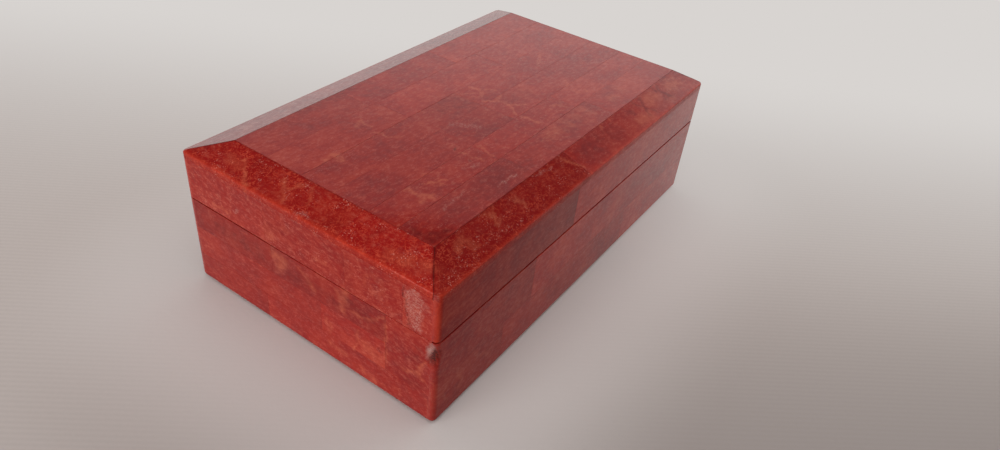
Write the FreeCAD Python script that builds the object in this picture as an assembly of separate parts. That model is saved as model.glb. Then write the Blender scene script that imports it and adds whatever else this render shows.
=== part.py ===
# Jewellery case: a hinged wooden box, faced all round with polished coral-stone tiles.
# Millimetres, +Z up. The origin is the centre of the felt that the case stands on.
# The front (-Y) opens. Two stop hinges carry the lid along the back (+Y).

import FreeCAD
import Part

import math
import os

# Outer form, over the tiles
length = 150.0            # along X
width = 90.5              # along Y
base_height = 29.4        # from the table to the base's rim
seam_gap = 0.3            # open line between the base's rim and the lid
lid_rim_height = 15.0     # upright side of the lid, up to the sloping border
bevel_run = 10.2          # reach of the sloping border, in from the lid's side
bevel_rise = 3.1          # climb of the sloping border
corner_radius = 1.5       # upright corners and bottom edge, rounded by polishing
arris_radius = 1.0        # edge between the lid's side and its sloping border

# Stone facing
tile_thickness = 1.8
tile_joint = 0.12         # filled hairline between two tiles

# Wooden carcass
wall_thickness = 5.0
floor_thickness = 4.0
floor_rebate = 2.5        # how far the floor board reaches under the walls
board_thickness = 4.5     # lid's top board, at its flat middle
wood_clearance = 0.1      # around a board that drops into a seat

# Lining
felt_thickness = 1.0
felt_proud = 0.4          # how far the felt stands below the walls
felt_margin = 0.5         # felt's edge to the edge of its recess
lining_thickness = 1.2    # velvet over card
lining_drop = 0.8         # lining's edge below the rim
pad_clearance = 0.3       # pad's edge to the wall lining
floor_pad_thickness = 4.0
lid_pad_thickness = 3.0
pad_edge_radius = 1.2
pad_crown = 0.5           # swell of the soft face, along the pad and across it

# Stop hinges
hinge_length = 20.0
hinge_inset = 28.0        # end of the case to the middle of a hinge
hinge_axis_out = 0.6      # pin's axis behind the tiled back
knuckle_radius = 1.9
knuckle_gap = 0.15        # between neighbouring knuckles and round them
middle_knuckle = 7.0      # length of the lid's knuckle
pin_radius = 0.8
pin_running_gap = 0.05
pin_head_radius = 1.2
pin_head_length = 0.4
leaf_thickness = 1.2
leaf_depth = 4.4          # leaf's reach into the wall's rim
leaf_clearance = 0.1      # leaf's edge to its recess
heel_height = 2.4         # depth of the block that stops the lid
stop_angle = 95.0         # where the lid's heel meets the base's heel
stop_gap_angle = 1.0      # play left between the heels at that angle
notch_clearance = 0.25    # heel's edge to the notch in the back tiles
screw_spacing = 12.0
screw_head_radius = 1.4
screw_shank_radius = 0.7
screw_length = 7.0
screw_clearance = 0.05    # between a screw and its hole

# Levels and angles that follow from the sizes above
beyond = 2.0 * tile_thickness                     # overshoot of a cutting solid
lid_bottom = base_height + seam_gap
arris_level = lid_bottom + lid_rim_height
lid_top = arris_level + bevel_rise
bevel_angle = math.atan2(bevel_rise, bevel_run)
bevel_lean = math.tan(bevel_angle / 2)            # joint of border and top, out of the upright
arris_lean = math.tan(math.pi / 4 - bevel_angle / 2)
bevel_drop = tile_thickness / math.cos(bevel_angle)
top_inset = bevel_run + tile_thickness * bevel_lean
board_bottom = lid_top - tile_thickness - board_thickness
floor_bottom = felt_thickness
floor_top = floor_bottom + floor_thickness
carcass_inset = tile_thickness + wall_thickness   # outer face to the wall's inner face
hinge_axis = FreeCAD.Vector(0, width / 2 + hinge_axis_out, base_height + seam_gap / 2)
hinge_places = (hinge_inset - length / 2, length / 2 - hinge_inset)
half_joint = tile_joint / 2

# The four sides: the turn about Z that carries the front to it, its run, and the size across
sides = {}
for quarter, side_name in enumerate(("front", "right", "back", "left")):
    side_turn = math.degrees(quarter * math.pi / 2)
    sides[side_name] = (side_turn, width, length) if quarter % 2 else (side_turn, length, width)
through_sides = ("front", "back")                 # these tiles cover the ends of the others


def course(low, high, *joints, start=0.0, end=1.0):
    """One row of tiles, as shares of its face: (left, right, low, high), split at the joints."""
    edges = [start, *joints, end]
    return [(left, right, low, high) for left, right in zip(edges, edges[1:])]


# Tile layouts, each seen from outside, as shares of the face
base_layout = {
    "front": course(0.5, 1, 0.29, 0.52) + course(0, 0.5, 0.20, 0.68),
    "left": course(2 / 3, 1, 0.37, end=0.82) + course(1 / 3, 2 / 3, 0.57, end=0.82)
    + course(1 / 3, 1, start=0.82) + course(0, 1 / 3, 0.33, 0.79),
    "back": course(0.5, 1, 0.36, 0.71) + course(0, 0.5, 0.24, 0.55),
    "right": course(0.5, 1, 0.42, 0.80) + course(0, 0.5, 0.28, 0.63),
}
rim_layout = {
    "front": course(0, 1, 0.42),
    "left": course(0, 1, 0.35, 0.67, 0.88),
    "back": course(0, 1, 0.30, 0.66),
    "right": course(0, 1, 0.38, 0.74),
}
bevel_layout = {
    "front": course(0, 1, 0.46),
    "left": course(0, 1, 0.24, 0.64),
    "back": course(0, 1, 0.38, 0.71),
    "right": course(0, 1, 0.45),
}
top_layout = (
    course(0, 0.16, 0.34, 0.70) + course(0.16, 0.30, 0.33, 0.66) + course(0.30, 0.475, 0.50)
    + course(0.475, 0.635, 0.50) + course(0.635, 0.82, 0.33, 0.72) + course(0.82, 1, 0.31, 0.64)
)


def block(x_range, y_range, z_range):
    """A box from three (low, high) pairs."""
    low, high = zip(x_range, y_range, z_range)
    size = [b - a for a, b in zip(low, high)]
    return Part.makeBox(*size, FreeCAD.Vector(*low))


def prism(points, direction):
    """A straight prism: the closed outline, carried along a vector."""
    outline = [FreeCAD.Vector(*p) for p in points]
    return Part.Face(Part.makePolygon(outline + outline[:1])).extrude(FreeCAD.Vector(*direction))


def turned(shape, degrees):
    """The shape turned about the Z axis."""
    copy = shape.copy()
    copy.rotate(FreeCAD.Vector(), FreeCAD.Vector(0, 0, 1), degrees)
    return copy


def rod(radius, x_range):
    """A round bar along the hinge's axis."""
    start = hinge_axis + FreeCAD.Vector(x_range[0], 0, 0)
    return Part.makeCylinder(radius, x_range[1] - x_range[0], start, FreeCAD.Vector(1, 0, 0))


def rounded(solid, radius, level):
    """The solid with a round on each straight edge that lies at one level."""
    edges = [e for e in solid.Edges if isinstance(e.Curve, Part.Line)]
    edges = [e for e in edges if all(abs(v.Z - level) < 1e-6 for v in e.Vertexes)]
    return solid.makeFillet(radius, edges)


def save(node, *shapes):
    """Writes a node's separate solids to its own file."""
    solids = [s for shape in shapes for s in shape.Solids]
    Part.makeCompound(solids).exportStep(f"parts/{node}.step")
    print(f"{node}: {len(solids)} solids, {sum(s.Volume for s in solids):.0f} mm3")


def base_envelope():
    """The base's outer form, with its upright corners and bottom edge rounded."""
    solid = block((-length / 2, length / 2), (-width / 2, width / 2), (felt_proud, base_height))
    edges = [e for e in solid.Edges if e.BoundBox.ZMin < base_height - 1e-6]
    return solid.makeFillet(corner_radius, edges)


def roof(half, depth, low):
    """The lid's outline, in across and up, at a depth inside its outer face."""
    side = half - depth
    edge_level = arris_level - depth * arris_lean
    flat = half - bevel_run - depth * bevel_lean
    flat_level = lid_top - depth
    return [(-side, low), (-side, edge_level), (-flat, flat_level),
            (flat, flat_level), (side, edge_level), (side, low)]


def underside(inset):
    """Level of the sloping border's underside, at an inset from the lid's side."""
    return arris_level - bevel_drop + inset * math.tan(bevel_angle)


def bed(half):
    """Outline of all that lies a joint under the sloping border, in across and up."""
    outer, inner = half + beyond, half - tile_thickness
    high, low = [underside(inset) - tile_joint for inset in (tile_thickness, -beyond)]
    left = [(-outer, lid_bottom), (-outer, low), (-inner, high)]
    return left + [(-across, z) for across, z in reversed(left)]


def crossed(outline, arris=0.0):
    """A form with one outline along X and along Y, so that its slopes meet in mitres at the corners."""
    reach_x, reach_y = length / 2 + beyond, width / 2 + beyond
    along_x = prism([(-reach_x, a, z) for a, z in outline(width / 2)], (2 * reach_x, 0, 0))
    along_y = prism([(a, -reach_y, z) for a, z in outline(length / 2)], (0, 2 * reach_y, 0))
    if arris:
        along_x, along_y = [rounded(form, arris, arris_level) for form in (along_x, along_y)]
    return along_x.common(along_y)


def lid_envelope():
    """The lid's outer form: upright corners rounded, and the arris of the sloping border rounded."""
    upright = block((-length / 2, length / 2), (-width / 2, width / 2), (lid_bottom, lid_top + beyond))
    corners = [e for e in upright.Edges if e.BoundBox.ZLength > e.BoundBox.DiagonalLength - 1e-6]
    form = crossed(lambda half: roof(half, 0.0, lid_bottom), arris_radius)
    return form.common(upright.makeFillet(corner_radius, corners))


def span(first, last, start, reach):
    """A tile's stretch along one direction: half a joint short at a joint, past the end at an end."""
    low = start + first * reach + (half_joint if first > 0 else -beyond)
    high = start + last * reach - (half_joint if last < 1 else -beyond)
    return low, high


def cut_tiles(field, layout, low, size, turn):
    """The tiles of one side: each share of the layout becomes a cell that trims the field."""
    tiles = []
    for left, right, bottom, top in layout:
        along = span(left, right, low[0], size[0])
        up = span(bottom, top, low[1], size[1])
        tiles.append(field.common(turned(block(along, (-length, length), up), turn)))
    return tiles


def side_end(name, run):
    """Where a side's facing ends: at the corner, or short of the through sides' tiles."""
    return run / 2 + beyond if name in through_sides else run / 2 - tile_thickness - tile_joint


def base_tiles(name, envelope):
    """The facing of one side of the base."""
    turn, run, across = sides[name]
    end = side_end(name, run)
    slab = block((-end, end), (-across / 2 - beyond, tile_thickness - across / 2), (0, base_height))
    field = envelope.common(turned(slab, turn))
    place = (-run / 2, felt_proud)
    return cut_tiles(field, base_layout[name], place, (run, base_height - felt_proud), turn)


def rim_tiles(name, envelope):
    """The facing of one upright side of the lid, under the edge of the sloping border."""
    turn, run, across = sides[name]
    end = side_end(name, run)
    slab = block((-end, end), (-across / 2 - beyond, tile_thickness - across / 2), (lid_bottom, lid_top))
    field = envelope.common(turned(slab, turn)).common(crossed(bed))
    return cut_tiles(field, rim_layout[name], (-run / 2, lid_bottom), (run, lid_rim_height), turn)


def bevel_tiles(name, envelope):
    """The sloping border of one side, mitred at both ends."""
    turn, run, across = sides[name]
    outer = -across / 2
    high = lid_top + beyond
    end = run / 2 + beyond
    outline = [
        (-end, outer - beyond, underside(-beyond)),
        (-end, outer + top_inset - half_joint, lid_top - tile_thickness),
        (-end, outer + top_inset - half_joint - bevel_lean * (tile_thickness + beyond), high),
        (-end, outer - beyond, high),
    ]
    strip = prism(outline, (2 * end, 0, 0))
    reach = min(run, across) / 2 - beyond
    shy = half_joint * math.sqrt(2)               # mitred ends stand back by half a joint
    wedge = [
        (-end + shy, outer - beyond, 0),
        (end - shy, outer - beyond, 0),
        (run / 2 - reach - shy, outer + reach, 0),
        (-run / 2 + reach + shy, outer + reach, 0),
    ]
    mitred = strip.common(prism(wedge, (0, 0, high)))
    field = envelope.common(turned(mitred, turn))
    return cut_tiles(field, bevel_layout[name], (-run / 2, 0), (run, high), turn)


def top_tile(shares):
    """One tile of the lid's flat middle. An edge against the sloping border leans in with its joint."""
    left, right, near, far = shares
    corners = []
    for half, first, last in ((length / 2, left, right), (width / 2, near, far)):
        flat = half - bevel_run
        low = (2 * first - 1) * flat + half_joint
        high = (2 * last - 1) * flat - half_joint
        lean = top_inset - bevel_run
        corners.append(((low, high), (low + lean * (first == 0), high - lean * (last == 1))))
    wires = []
    for z, (x0, x1), (y0, y1) in zip((lid_top, lid_top - tile_thickness), *corners):
        loop = [(x0, y0, z), (x1, y0, z), (x1, y1, z), (x0, y1, z), (x0, y0, z)]
        wires.append(Part.makePolygon([FreeCAD.Vector(*p) for p in loop]))
    return Part.makeLoft(wires, True, True)


def mitred_wall(name, z_range):
    """One board of a mitred frame, standing behind the tiles of its side."""
    turn, run, across = sides[name]
    outer = tile_thickness - across / 2
    inner = carcass_inset - across / 2
    outer_end = run / 2 - tile_thickness
    inner_end = run / 2 - carcass_inset
    plan = [(-outer_end, outer), (outer_end, outer), (inner_end, inner), (-inner_end, inner)]
    board = prism([(x, y, z_range[0]) for x, y in plan], (0, 0, z_range[1] - z_range[0]))
    return turned(board, turn)


def floor_space(margin, z_range):
    """The floor board's plan, less a margin, over a range of levels."""
    half_x = length / 2 - carcass_inset + floor_rebate - margin
    half_y = width / 2 - carcass_inset + floor_rebate - margin
    return block((-half_x, half_x), (-half_y, half_y), z_range)


def lining(name, z_range):
    """The velvet on one inner wall. The two ends fit between the front and the back."""
    turn, run, across = sides[name]
    end = run / 2 - carcass_inset - (0 if name in through_sides else lining_thickness)
    inner = carcass_inset - across / 2
    return turned(block((-end, end), (inner, inner + lining_thickness), z_range), turn)


def crowned_bar(half, seat, soft, crown):
    """A long bar along X: flat on its seat, with a crowned soft face between two rounded edges."""
    edge = soft - crown
    outline = [(-half, edge), (-half, seat), (half, seat), (half, edge)]
    corners = [FreeCAD.Vector(-length, *point) for point in outline]
    sides_and_seat = Part.makePolygon(corners).Edges
    crown_arc = Part.Arc(corners[3], FreeCAD.Vector(-length, 0, soft), corners[0]).toShape()
    bar = Part.Face(Part.Wire([*sides_and_seat, crown_arc])).extrude(FreeCAD.Vector(2 * length, 0, 0))
    return rounded(bar, pad_edge_radius, edge)


def pad(seat, thickness, up):
    """A velvet pad between the wall linings, crowned across and falling away towards both ends."""
    inset = carcass_inset + lining_thickness + pad_clearance
    soft = seat + up * thickness
    crown = up * pad_crown
    across = crowned_bar(width / 2 - inset, seat, soft, crown)
    along = crowned_bar(length / 2 - inset, seat, soft + crown, 2 * crown)
    return across.common(turned(along, sides["right"][0]))


def knuckle_ranges(own):
    """Stretches of the hinge held by the lid's knuckle, or by the base's two."""
    half = hinge_length / 2
    middle = middle_knuckle / 2
    if own == "lid":
        return [(-middle, middle)]
    return [(-half, -middle - knuckle_gap), (middle + knuckle_gap, half)]


def leaf_outline(up):
    """A leaf's section, in out and up from the pin's axis: plate, heel and sloping stop face."""
    slope = 1 / math.tan(math.radians((stop_angle + stop_gap_angle) / 2))
    rim = seam_gap / 2
    wall = -hinge_axis_out - tile_thickness
    outline = [
        (wall - leaf_depth, rim),
        (rim * slope, rim),
        (heel_height * slope, heel_height),
        (wall, heel_height),
        (wall, rim + leaf_thickness),
        (wall - leaf_depth, rim + leaf_thickness),
    ]
    return [(out, up * z) for out, z in outline]


def screw_places():
    """Middles of a leaf's screws, from the pin's axis."""
    out = -hinge_axis_out - tile_thickness - leaf_depth / 2
    return [(x, out) for x in (-screw_spacing / 2, screw_spacing / 2)]


def screw(x, out, up, clearance=0.0):
    """A countersunk screw, or with a clearance the hole that it drops into."""
    rim = seam_gap / 2
    sink = screw_head_radius - screw_shank_radius
    profile = [
        (0, 0),
        (screw_head_radius + clearance, 0),
        (screw_shank_radius + clearance, sink),
        (screw_shank_radius + clearance, screw_length - screw_shank_radius + clearance),
        (0, screw_length + clearance),
    ]
    outline = [FreeCAD.Vector(r, 0, up * (rim + depth)) for r, depth in profile + profile[:1]]
    face = Part.Face(Part.makePolygon(outline))
    solid = face.revolve(FreeCAD.Vector(), FreeCAD.Vector(0, 0, 1), 360)
    return solid.translated(hinge_axis + FreeCAD.Vector(x, out, 0))


def leaf(own):
    """One leaf of a hinge about x = 0, with its knuckles, and with room for the other leaf's."""
    up = 1 if own == "lid" else -1
    other = "base" if own == "lid" else "lid"
    start = hinge_axis - FreeCAD.Vector(hinge_length / 2, 0, 0)
    section = [(start.x, start.y + out, start.z + z) for out, z in leaf_outline(up)]
    solid = prism(section, (hinge_length, 0, 0))
    for low, high in knuckle_ranges(other):
        room = (low - knuckle_gap, high + knuckle_gap)
        solid = solid.cut(rod(knuckle_radius + knuckle_gap, room))
    solid = solid.fuse([rod(knuckle_radius, stretch) for stretch in knuckle_ranges(own)])
    solid = solid.cut(rod(pin_radius + pin_running_gap, (-hinge_length, hinge_length)))
    holes = [screw(x, out, up, screw_clearance) for x, out in screw_places()]
    return solid.cut(holes).removeSplitter()


def pin():
    """The hinge pin, peened to a small head at both ends."""
    half = hinge_length / 2
    shank = rod(pin_radius, (-half, half))
    heads = [rod(pin_head_radius, (-half - pin_head_length, -half)),
             rod(pin_head_radius, (half, half + pin_head_length))]
    return shank.fuse(heads).removeSplitter()


def leaf_recess(own):
    """What a leaf takes out of the wall's rim, with its screw holes."""
    up = 1 if own == "lid" else -1
    half = hinge_length / 2 + leaf_clearance
    wall = hinge_axis.y - hinge_axis_out - tile_thickness
    depth = sorted((hinge_axis.z, hinge_axis.z + up * (seam_gap / 2 + leaf_thickness + leaf_clearance)))
    recess = block((-half, half), (wall - leaf_depth - leaf_clearance, wall + beyond), depth)
    return [recess] + [screw(x, out, up, screw_clearance) for x, out in screw_places()]


def tile_notch():
    """The gap in the back tiles that the knuckles and heels stand in."""
    half = hinge_length / 2 + pin_head_length + notch_clearance
    high = heel_height + notch_clearance
    outer = width / 2
    return block((-half, half), (outer - tile_thickness - beyond, outer + beyond),
                 (hinge_axis.z - high, hinge_axis.z + high))


def at_hinges(shapes):
    """Copies of the shapes at each hinge."""
    return [s.translated(FreeCAD.Vector(x, 0, 0)) for x in hinge_places for s in shapes]


def build_base():
    """The base: felt, floor, walls, facing and lining."""
    envelope = base_envelope()
    notches = at_hinges([tile_notch()])
    recesses = at_hinges(leaf_recess("base"))
    floor_seat = floor_space(0.0, (0, floor_top))
    save("underside_felt", floor_space(felt_margin, (0, felt_thickness)))
    save("base_floor_board", floor_space(wood_clearance, (floor_bottom, floor_top)))
    save("base_floor_pad", pad(floor_top, floor_pad_thickness, 1))
    for name in sides:
        wall = mitred_wall(name, (felt_proud, base_height)).cut(floor_seat)
        tiles = base_tiles(name, envelope)
        if name == "back":
            wall = wall.cut(recesses)
            tiles = [tile.cut(notches) for tile in tiles]
        save(f"base_{name}_wall", wall)
        save(f"base_{name}_tiles", *tiles)
        save(f"base_{name}_lining", lining(name, (floor_top, base_height - lining_drop)))


def build_lid():
    """The lid: board, rails, facing and lining."""
    envelope = lid_envelope()
    notches = at_hinges([tile_notch()])
    recesses = at_hinges(leaf_recess("lid"))
    save("lid_top_board", crossed(lambda half: roof(half, tile_thickness, board_bottom)))
    save("lid_top_tiles", *[top_tile(shares) for shares in top_layout])
    save("lid_pad", pad(board_bottom, lid_pad_thickness, -1))
    for name in sides:
        rail = mitred_wall(name, (lid_bottom, board_bottom))
        tiles = rim_tiles(name, envelope)
        if name == "back":
            rail = rail.cut(recesses)
            tiles = [tile.cut(notches) for tile in tiles]
        save(f"lid_{name}_rail", rail)
        save(f"lid_{name}_tiles", *tiles)
        save(f"lid_{name}_bevel_tiles", *bevel_tiles(name, envelope))
        save(f"lid_{name}_lining", lining(name, (lid_bottom + lining_drop, board_bottom)))


def build_hinges():
    """Two stop hinges: a leaf in each rim, a pin, and the screws."""
    for hand, x in zip(("left", "right"), hinge_places):
        place = FreeCAD.Vector(x, 0, 0)
        save(f"{hand}_hinge_base_leaf", leaf("base").translated(place))
        save(f"{hand}_hinge_lid_leaf", leaf("lid").translated(place))
        save(f"{hand}_hinge_pin", pin().translated(place))
    save("base_hinge_screws", *at_hinges([screw(x, out, -1) for x, out in screw_places()]))
    save("lid_hinge_screws", *at_hinges([screw(x, out, 1) for x, out in screw_places()]))


os.makedirs("parts", exist_ok=True)
build_base()
build_lid()
build_hinges()
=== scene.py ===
# %% [markdown]
# # A jewellery case faced with polished coral stone
# The case is a small wooden box with a hinged lid. Every outside face is covered with thin tiles of red
# coral stone, ground flat together and lacquered, and the lid has a wide bevel round its top.
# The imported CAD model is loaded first, because every piece made here is worked out from its boxes.

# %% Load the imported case
import math

import bpy
import numpy as np
from mathutils import Matrix, Vector


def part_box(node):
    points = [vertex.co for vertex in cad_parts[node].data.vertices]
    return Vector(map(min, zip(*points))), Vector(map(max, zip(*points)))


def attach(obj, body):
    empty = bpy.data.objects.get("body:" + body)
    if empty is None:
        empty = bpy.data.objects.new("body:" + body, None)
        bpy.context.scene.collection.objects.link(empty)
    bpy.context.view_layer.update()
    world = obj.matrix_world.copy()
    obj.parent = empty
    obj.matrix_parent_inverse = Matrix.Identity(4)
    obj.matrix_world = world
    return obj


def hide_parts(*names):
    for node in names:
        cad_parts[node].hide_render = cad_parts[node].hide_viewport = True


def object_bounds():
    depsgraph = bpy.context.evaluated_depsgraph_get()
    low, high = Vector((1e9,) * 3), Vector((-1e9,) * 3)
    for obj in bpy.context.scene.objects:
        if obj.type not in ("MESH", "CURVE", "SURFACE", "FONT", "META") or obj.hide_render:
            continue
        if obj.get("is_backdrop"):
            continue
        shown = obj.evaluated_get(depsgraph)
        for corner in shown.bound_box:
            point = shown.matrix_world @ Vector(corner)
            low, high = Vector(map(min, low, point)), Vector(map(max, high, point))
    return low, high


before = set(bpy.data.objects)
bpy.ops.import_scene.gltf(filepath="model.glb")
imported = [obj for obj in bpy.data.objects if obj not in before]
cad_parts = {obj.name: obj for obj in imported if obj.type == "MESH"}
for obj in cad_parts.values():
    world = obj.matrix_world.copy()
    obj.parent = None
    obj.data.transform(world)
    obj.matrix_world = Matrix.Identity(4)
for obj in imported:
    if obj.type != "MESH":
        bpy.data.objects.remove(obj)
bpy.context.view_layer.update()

MM = 0.001

# %% [markdown]
# ## The camera
# The picture was taken by hand, close up and a little turned, so its upright edges lean and the far end
# looks small. Heading, dip and roll of the camera could be read off by eye, but the three visible edges at
# each corner pin them down well, so they were fitted to the corners of the case and rounded.

# %% Camera at the photograph's place
PICTURE_WIDTH = 1000
FOCAL_PIXELS = 764.4
SENSOR_WIDTH = 36.0
camera_place = Vector((-177.2, -120.0, 161.1)) * MM
heading, dip, roll = (math.radians(angle) for angle in (31.07, 36.74, 6.665))

forward = Vector((math.cos(dip) * math.cos(heading), math.cos(dip) * math.sin(heading), -math.sin(dip)))
level = Vector((math.sin(heading), -math.cos(heading), 0.0))
rightward = level * math.cos(roll) + level.cross(forward) * math.sin(roll)
upward = rightward.cross(forward)

camera = bpy.data.objects.new("camera", bpy.data.cameras.new("camera"))
camera.data.sensor_width = SENSOR_WIDTH
camera.data.sensor_fit = "HORIZONTAL"
camera.data.lens = FOCAL_PIXELS / PICTURE_WIDTH * SENSOR_WIDTH
camera.data.clip_start = 0.01
turn = Matrix((rightward, upward, -forward)).transposed().to_4x4()
camera.matrix_world = Matrix.Translation(camera_place) @ turn
bpy.context.scene.collection.objects.link(camera)
bpy.context.scene.camera = camera
bpy.context.scene.view_settings.view_transform = "Standard"
print("lens in mm:", round(camera.data.lens, 2))

# %% [markdown]
# ## A short way to write finishes
# A procedural finish is a net of nodes, and a net is long to write out by hand. This small class adds the
# few kinds of node that the finishes below use, so that each finish reads as a list of what it does.

# %% The finish builder
class Finish:
    """A material or world under construction. Each method adds one node and gives back its output socket."""

    def __init__(self, owner):
        owner.use_nodes = True
        self.owner = owner
        self.tree = owner.node_tree
        self.tree.nodes.clear()

    def node(self, kind, inputs=(), **settings):
        """Adds a node: settings are its own options, and inputs are values or sockets by name or number."""
        made = self.tree.nodes.new(kind)
        for key, value in settings.items():
            setattr(made, key, value)
        for key, value in dict(inputs).items():
            if isinstance(value, bpy.types.NodeSocket):
                self.tree.links.new(value, made.inputs[key])
            else:
                made.inputs[key].default_value = value
        return made

    def place(self):
        """Object coordinates, which are the frame's own metres."""
        return self.node("ShaderNodeTexCoord").outputs["Object"]

    def painted(self, name):
        """A number that the mesh carries at each of its points."""
        return self.node("ShaderNodeAttribute", attribute_name=name).outputs["Fac"]

    def math(self, operation, first, second=0.0):
        """One sum on numbers, such as ADD, MINIMUM or SINE."""
        return self.node("ShaderNodeMath", {0: first, 1: second}, operation=operation).outputs[0]

    def times(self, first, second):
        """The product of two numbers."""
        return self.math("MULTIPLY", first, second)

    def vector(self, operation, first, second):
        """One sum on vectors, component by component."""
        return self.node("ShaderNodeVectorMath", {0: first, 1: second}, operation=operation).outputs[0]

    def dot(self, first, second):
        """How far one vector reaches along the other, times the other's length."""
        inputs = {0: first, 1: second}
        return self.node("ShaderNodeVectorMath", inputs, operation="DOT_PRODUCT").outputs["Value"]

    def length(self, vector):
        """How long a vector is."""
        return self.node("ShaderNodeVectorMath", {0: vector}, operation="LENGTH").outputs["Value"]

    def step(self, value, low, high, start=0.0, end=1.0):
        """A soft step: start below low, end above high, and a smooth slope between them."""
        inputs = {"Value": value, "From Min": low, "From Max": high, "To Min": start, "To Max": end}
        return self.node("ShaderNodeMapRange", inputs, interpolation_type="SMOOTHSTEP").outputs[0]

    def mix(self, share, first, second):
        """Colour from first to second as share goes from 0 to 1."""
        inputs = {0: share, 6: first, 7: second}
        return self.node("ShaderNodeMix", inputs, data_type="RGBA").outputs[2]

    def tinted(self, first, second):
        """The product of two colours."""
        inputs = {0: 1.0, 6: first, 7: second}
        return self.node("ShaderNodeMix", inputs, data_type="RGBA", blend_type="MULTIPLY").outputs[2]

    def noise(self, where, scale, detail=2.0, rough=0.5, output="Fac"):
        """Soft noise: scale is how many waves one unit holds, and detail and rough add finer ones."""
        inputs = {"Vector": where, "Scale": scale, "Detail": detail, "Roughness": rough}
        return self.node("ShaderNodeTexNoise", inputs).outputs[output]

    def cells(self, where, scale, feature="F1", output="Distance"):
        """A pattern of random cells, as the distance to the nearest centre (F1) or to the nearest border."""
        inputs = {"Vector": where, "Scale": scale}
        return self.node("ShaderNodeTexVoronoi", inputs, feature=feature).outputs[output]

    def off_middle(self, value):
        """How far a noise lies from its middle, which is least along thin winding lines."""
        return self.math("ABSOLUTE", self.math("SUBTRACT", value, 0.5))

    def bump(self, height, distance, strength=1.0, below=None):
        """A normal tilted by a relief that is distance metres deep, on top of the relief below."""
        inputs = {"Height": height, "Distance": distance, "Strength": strength}
        if below is not None:
            inputs["Normal"] = below
        return self.node("ShaderNodeBump", inputs).outputs[0]

    def surface(self, shader):
        """Ends the net with its output node, and gives back the finished material or world."""
        ending = "World" if isinstance(self.owner, bpy.types.World) else "Material"
        self.node("ShaderNodeOutput" + ending, {"Surface": shader})
        return self.owner

    def principled(self, inputs):
        """Ends the net with Blender's general surface shader."""
        return self.surface(self.node("ShaderNodeBsdfPrincipled", inputs).outputs[0])


def linear(red, green, blue):
    """A colour picked in 0 to 255 display values, as the linear colour that a shader takes."""
    display = np.array((red, green, blue)) / 255.0
    light = np.where(display <= 0.04045, display / 12.92, ((display + 0.055) / 1.055) ** 2.4)
    return (*light.tolist(), 1.0)


print("a mid grey of 128 is", round(linear(128, 128, 128)[0], 3), "of full light")

# %% [markdown]
# ## Floor, sky and window
# The case stands on white paper by a window. The paper is a flat disc with a fine rib that is painted as
# stripes of shade. It has painted light close to the case and painted shade towards the viewer. Far out it
# fades into the backdrop's own colour, so that no view shows a horizon. The lacquer needs something to
# reflect:
# pale walls low down and a dim ceiling high up, which is what leaves the bevels deep red and puts a haze on
# the flat top. A sky of a few plain bands does that with no more lamps. The window is one large soft lamp on
# the left.

# %% Paper disc
def paper_disc(radius, rings, spokes):
    """Flat disc: ring k lies at radius times (k / rings) squared, and each ring has the same spokes."""
    reach = radius * (np.arange(1, rings + 1) / rings) ** 2
    angle = np.arange(spokes) * (2 * np.pi / spokes)
    spoke = np.stack([np.cos(angle), np.sin(angle), np.zeros(spokes)], -1)
    ring = reach[:, None, None] * spoke
    points = np.concatenate([np.zeros((1, 3)), ring.reshape(-1, 3)])
    here = 1 + np.arange(spokes)
    after = 1 + (np.arange(spokes) + 1) % spokes
    hub = np.stack([np.zeros_like(here), here, after], -1)
    start = (np.arange(rings - 1) * spokes)[:, None]
    band = np.stack([here + start, here + start + spokes, after + start + spokes, after + start], -1)
    return points, hub.tolist() + band.reshape(-1, 4).tolist()


floor_points, floor_faces = paper_disc(radius=4.0, rings=24, spokes=72)
floor_mesh = bpy.data.meshes.new("paper_floor")
floor_mesh.from_pydata(floor_points.tolist(), [], floor_faces)
floor = bpy.data.objects.new("paper_floor", floor_mesh)
bpy.context.scene.collection.objects.link(floor)
floor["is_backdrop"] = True
print("floor faces:", len(floor_faces))

# %% Paper finish
BACKDROP = linear(216, 212, 209)
PAPER = linear(196, 186, 182)
PAPER_SHADE = linear(190, 180, 176)
PAPER_PAINTED_SHADE = linear(150, 141, 138)
PAPER_PAINTED_LIGHT = linear(212, 205, 203)
RIB_PITCH, RIB_HEADING = 1.6, math.radians(37)
BEHIND, NEARER, ASIDE = (0.857, 0.516, 0.0), (-0.794, -0.642, 0.0), (0.77, -0.64, 0.0)
CASE_HALF, NO_LENGTH = (0.075, 0.045, 0.0), (0.0, 0.0, 0.0)


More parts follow.
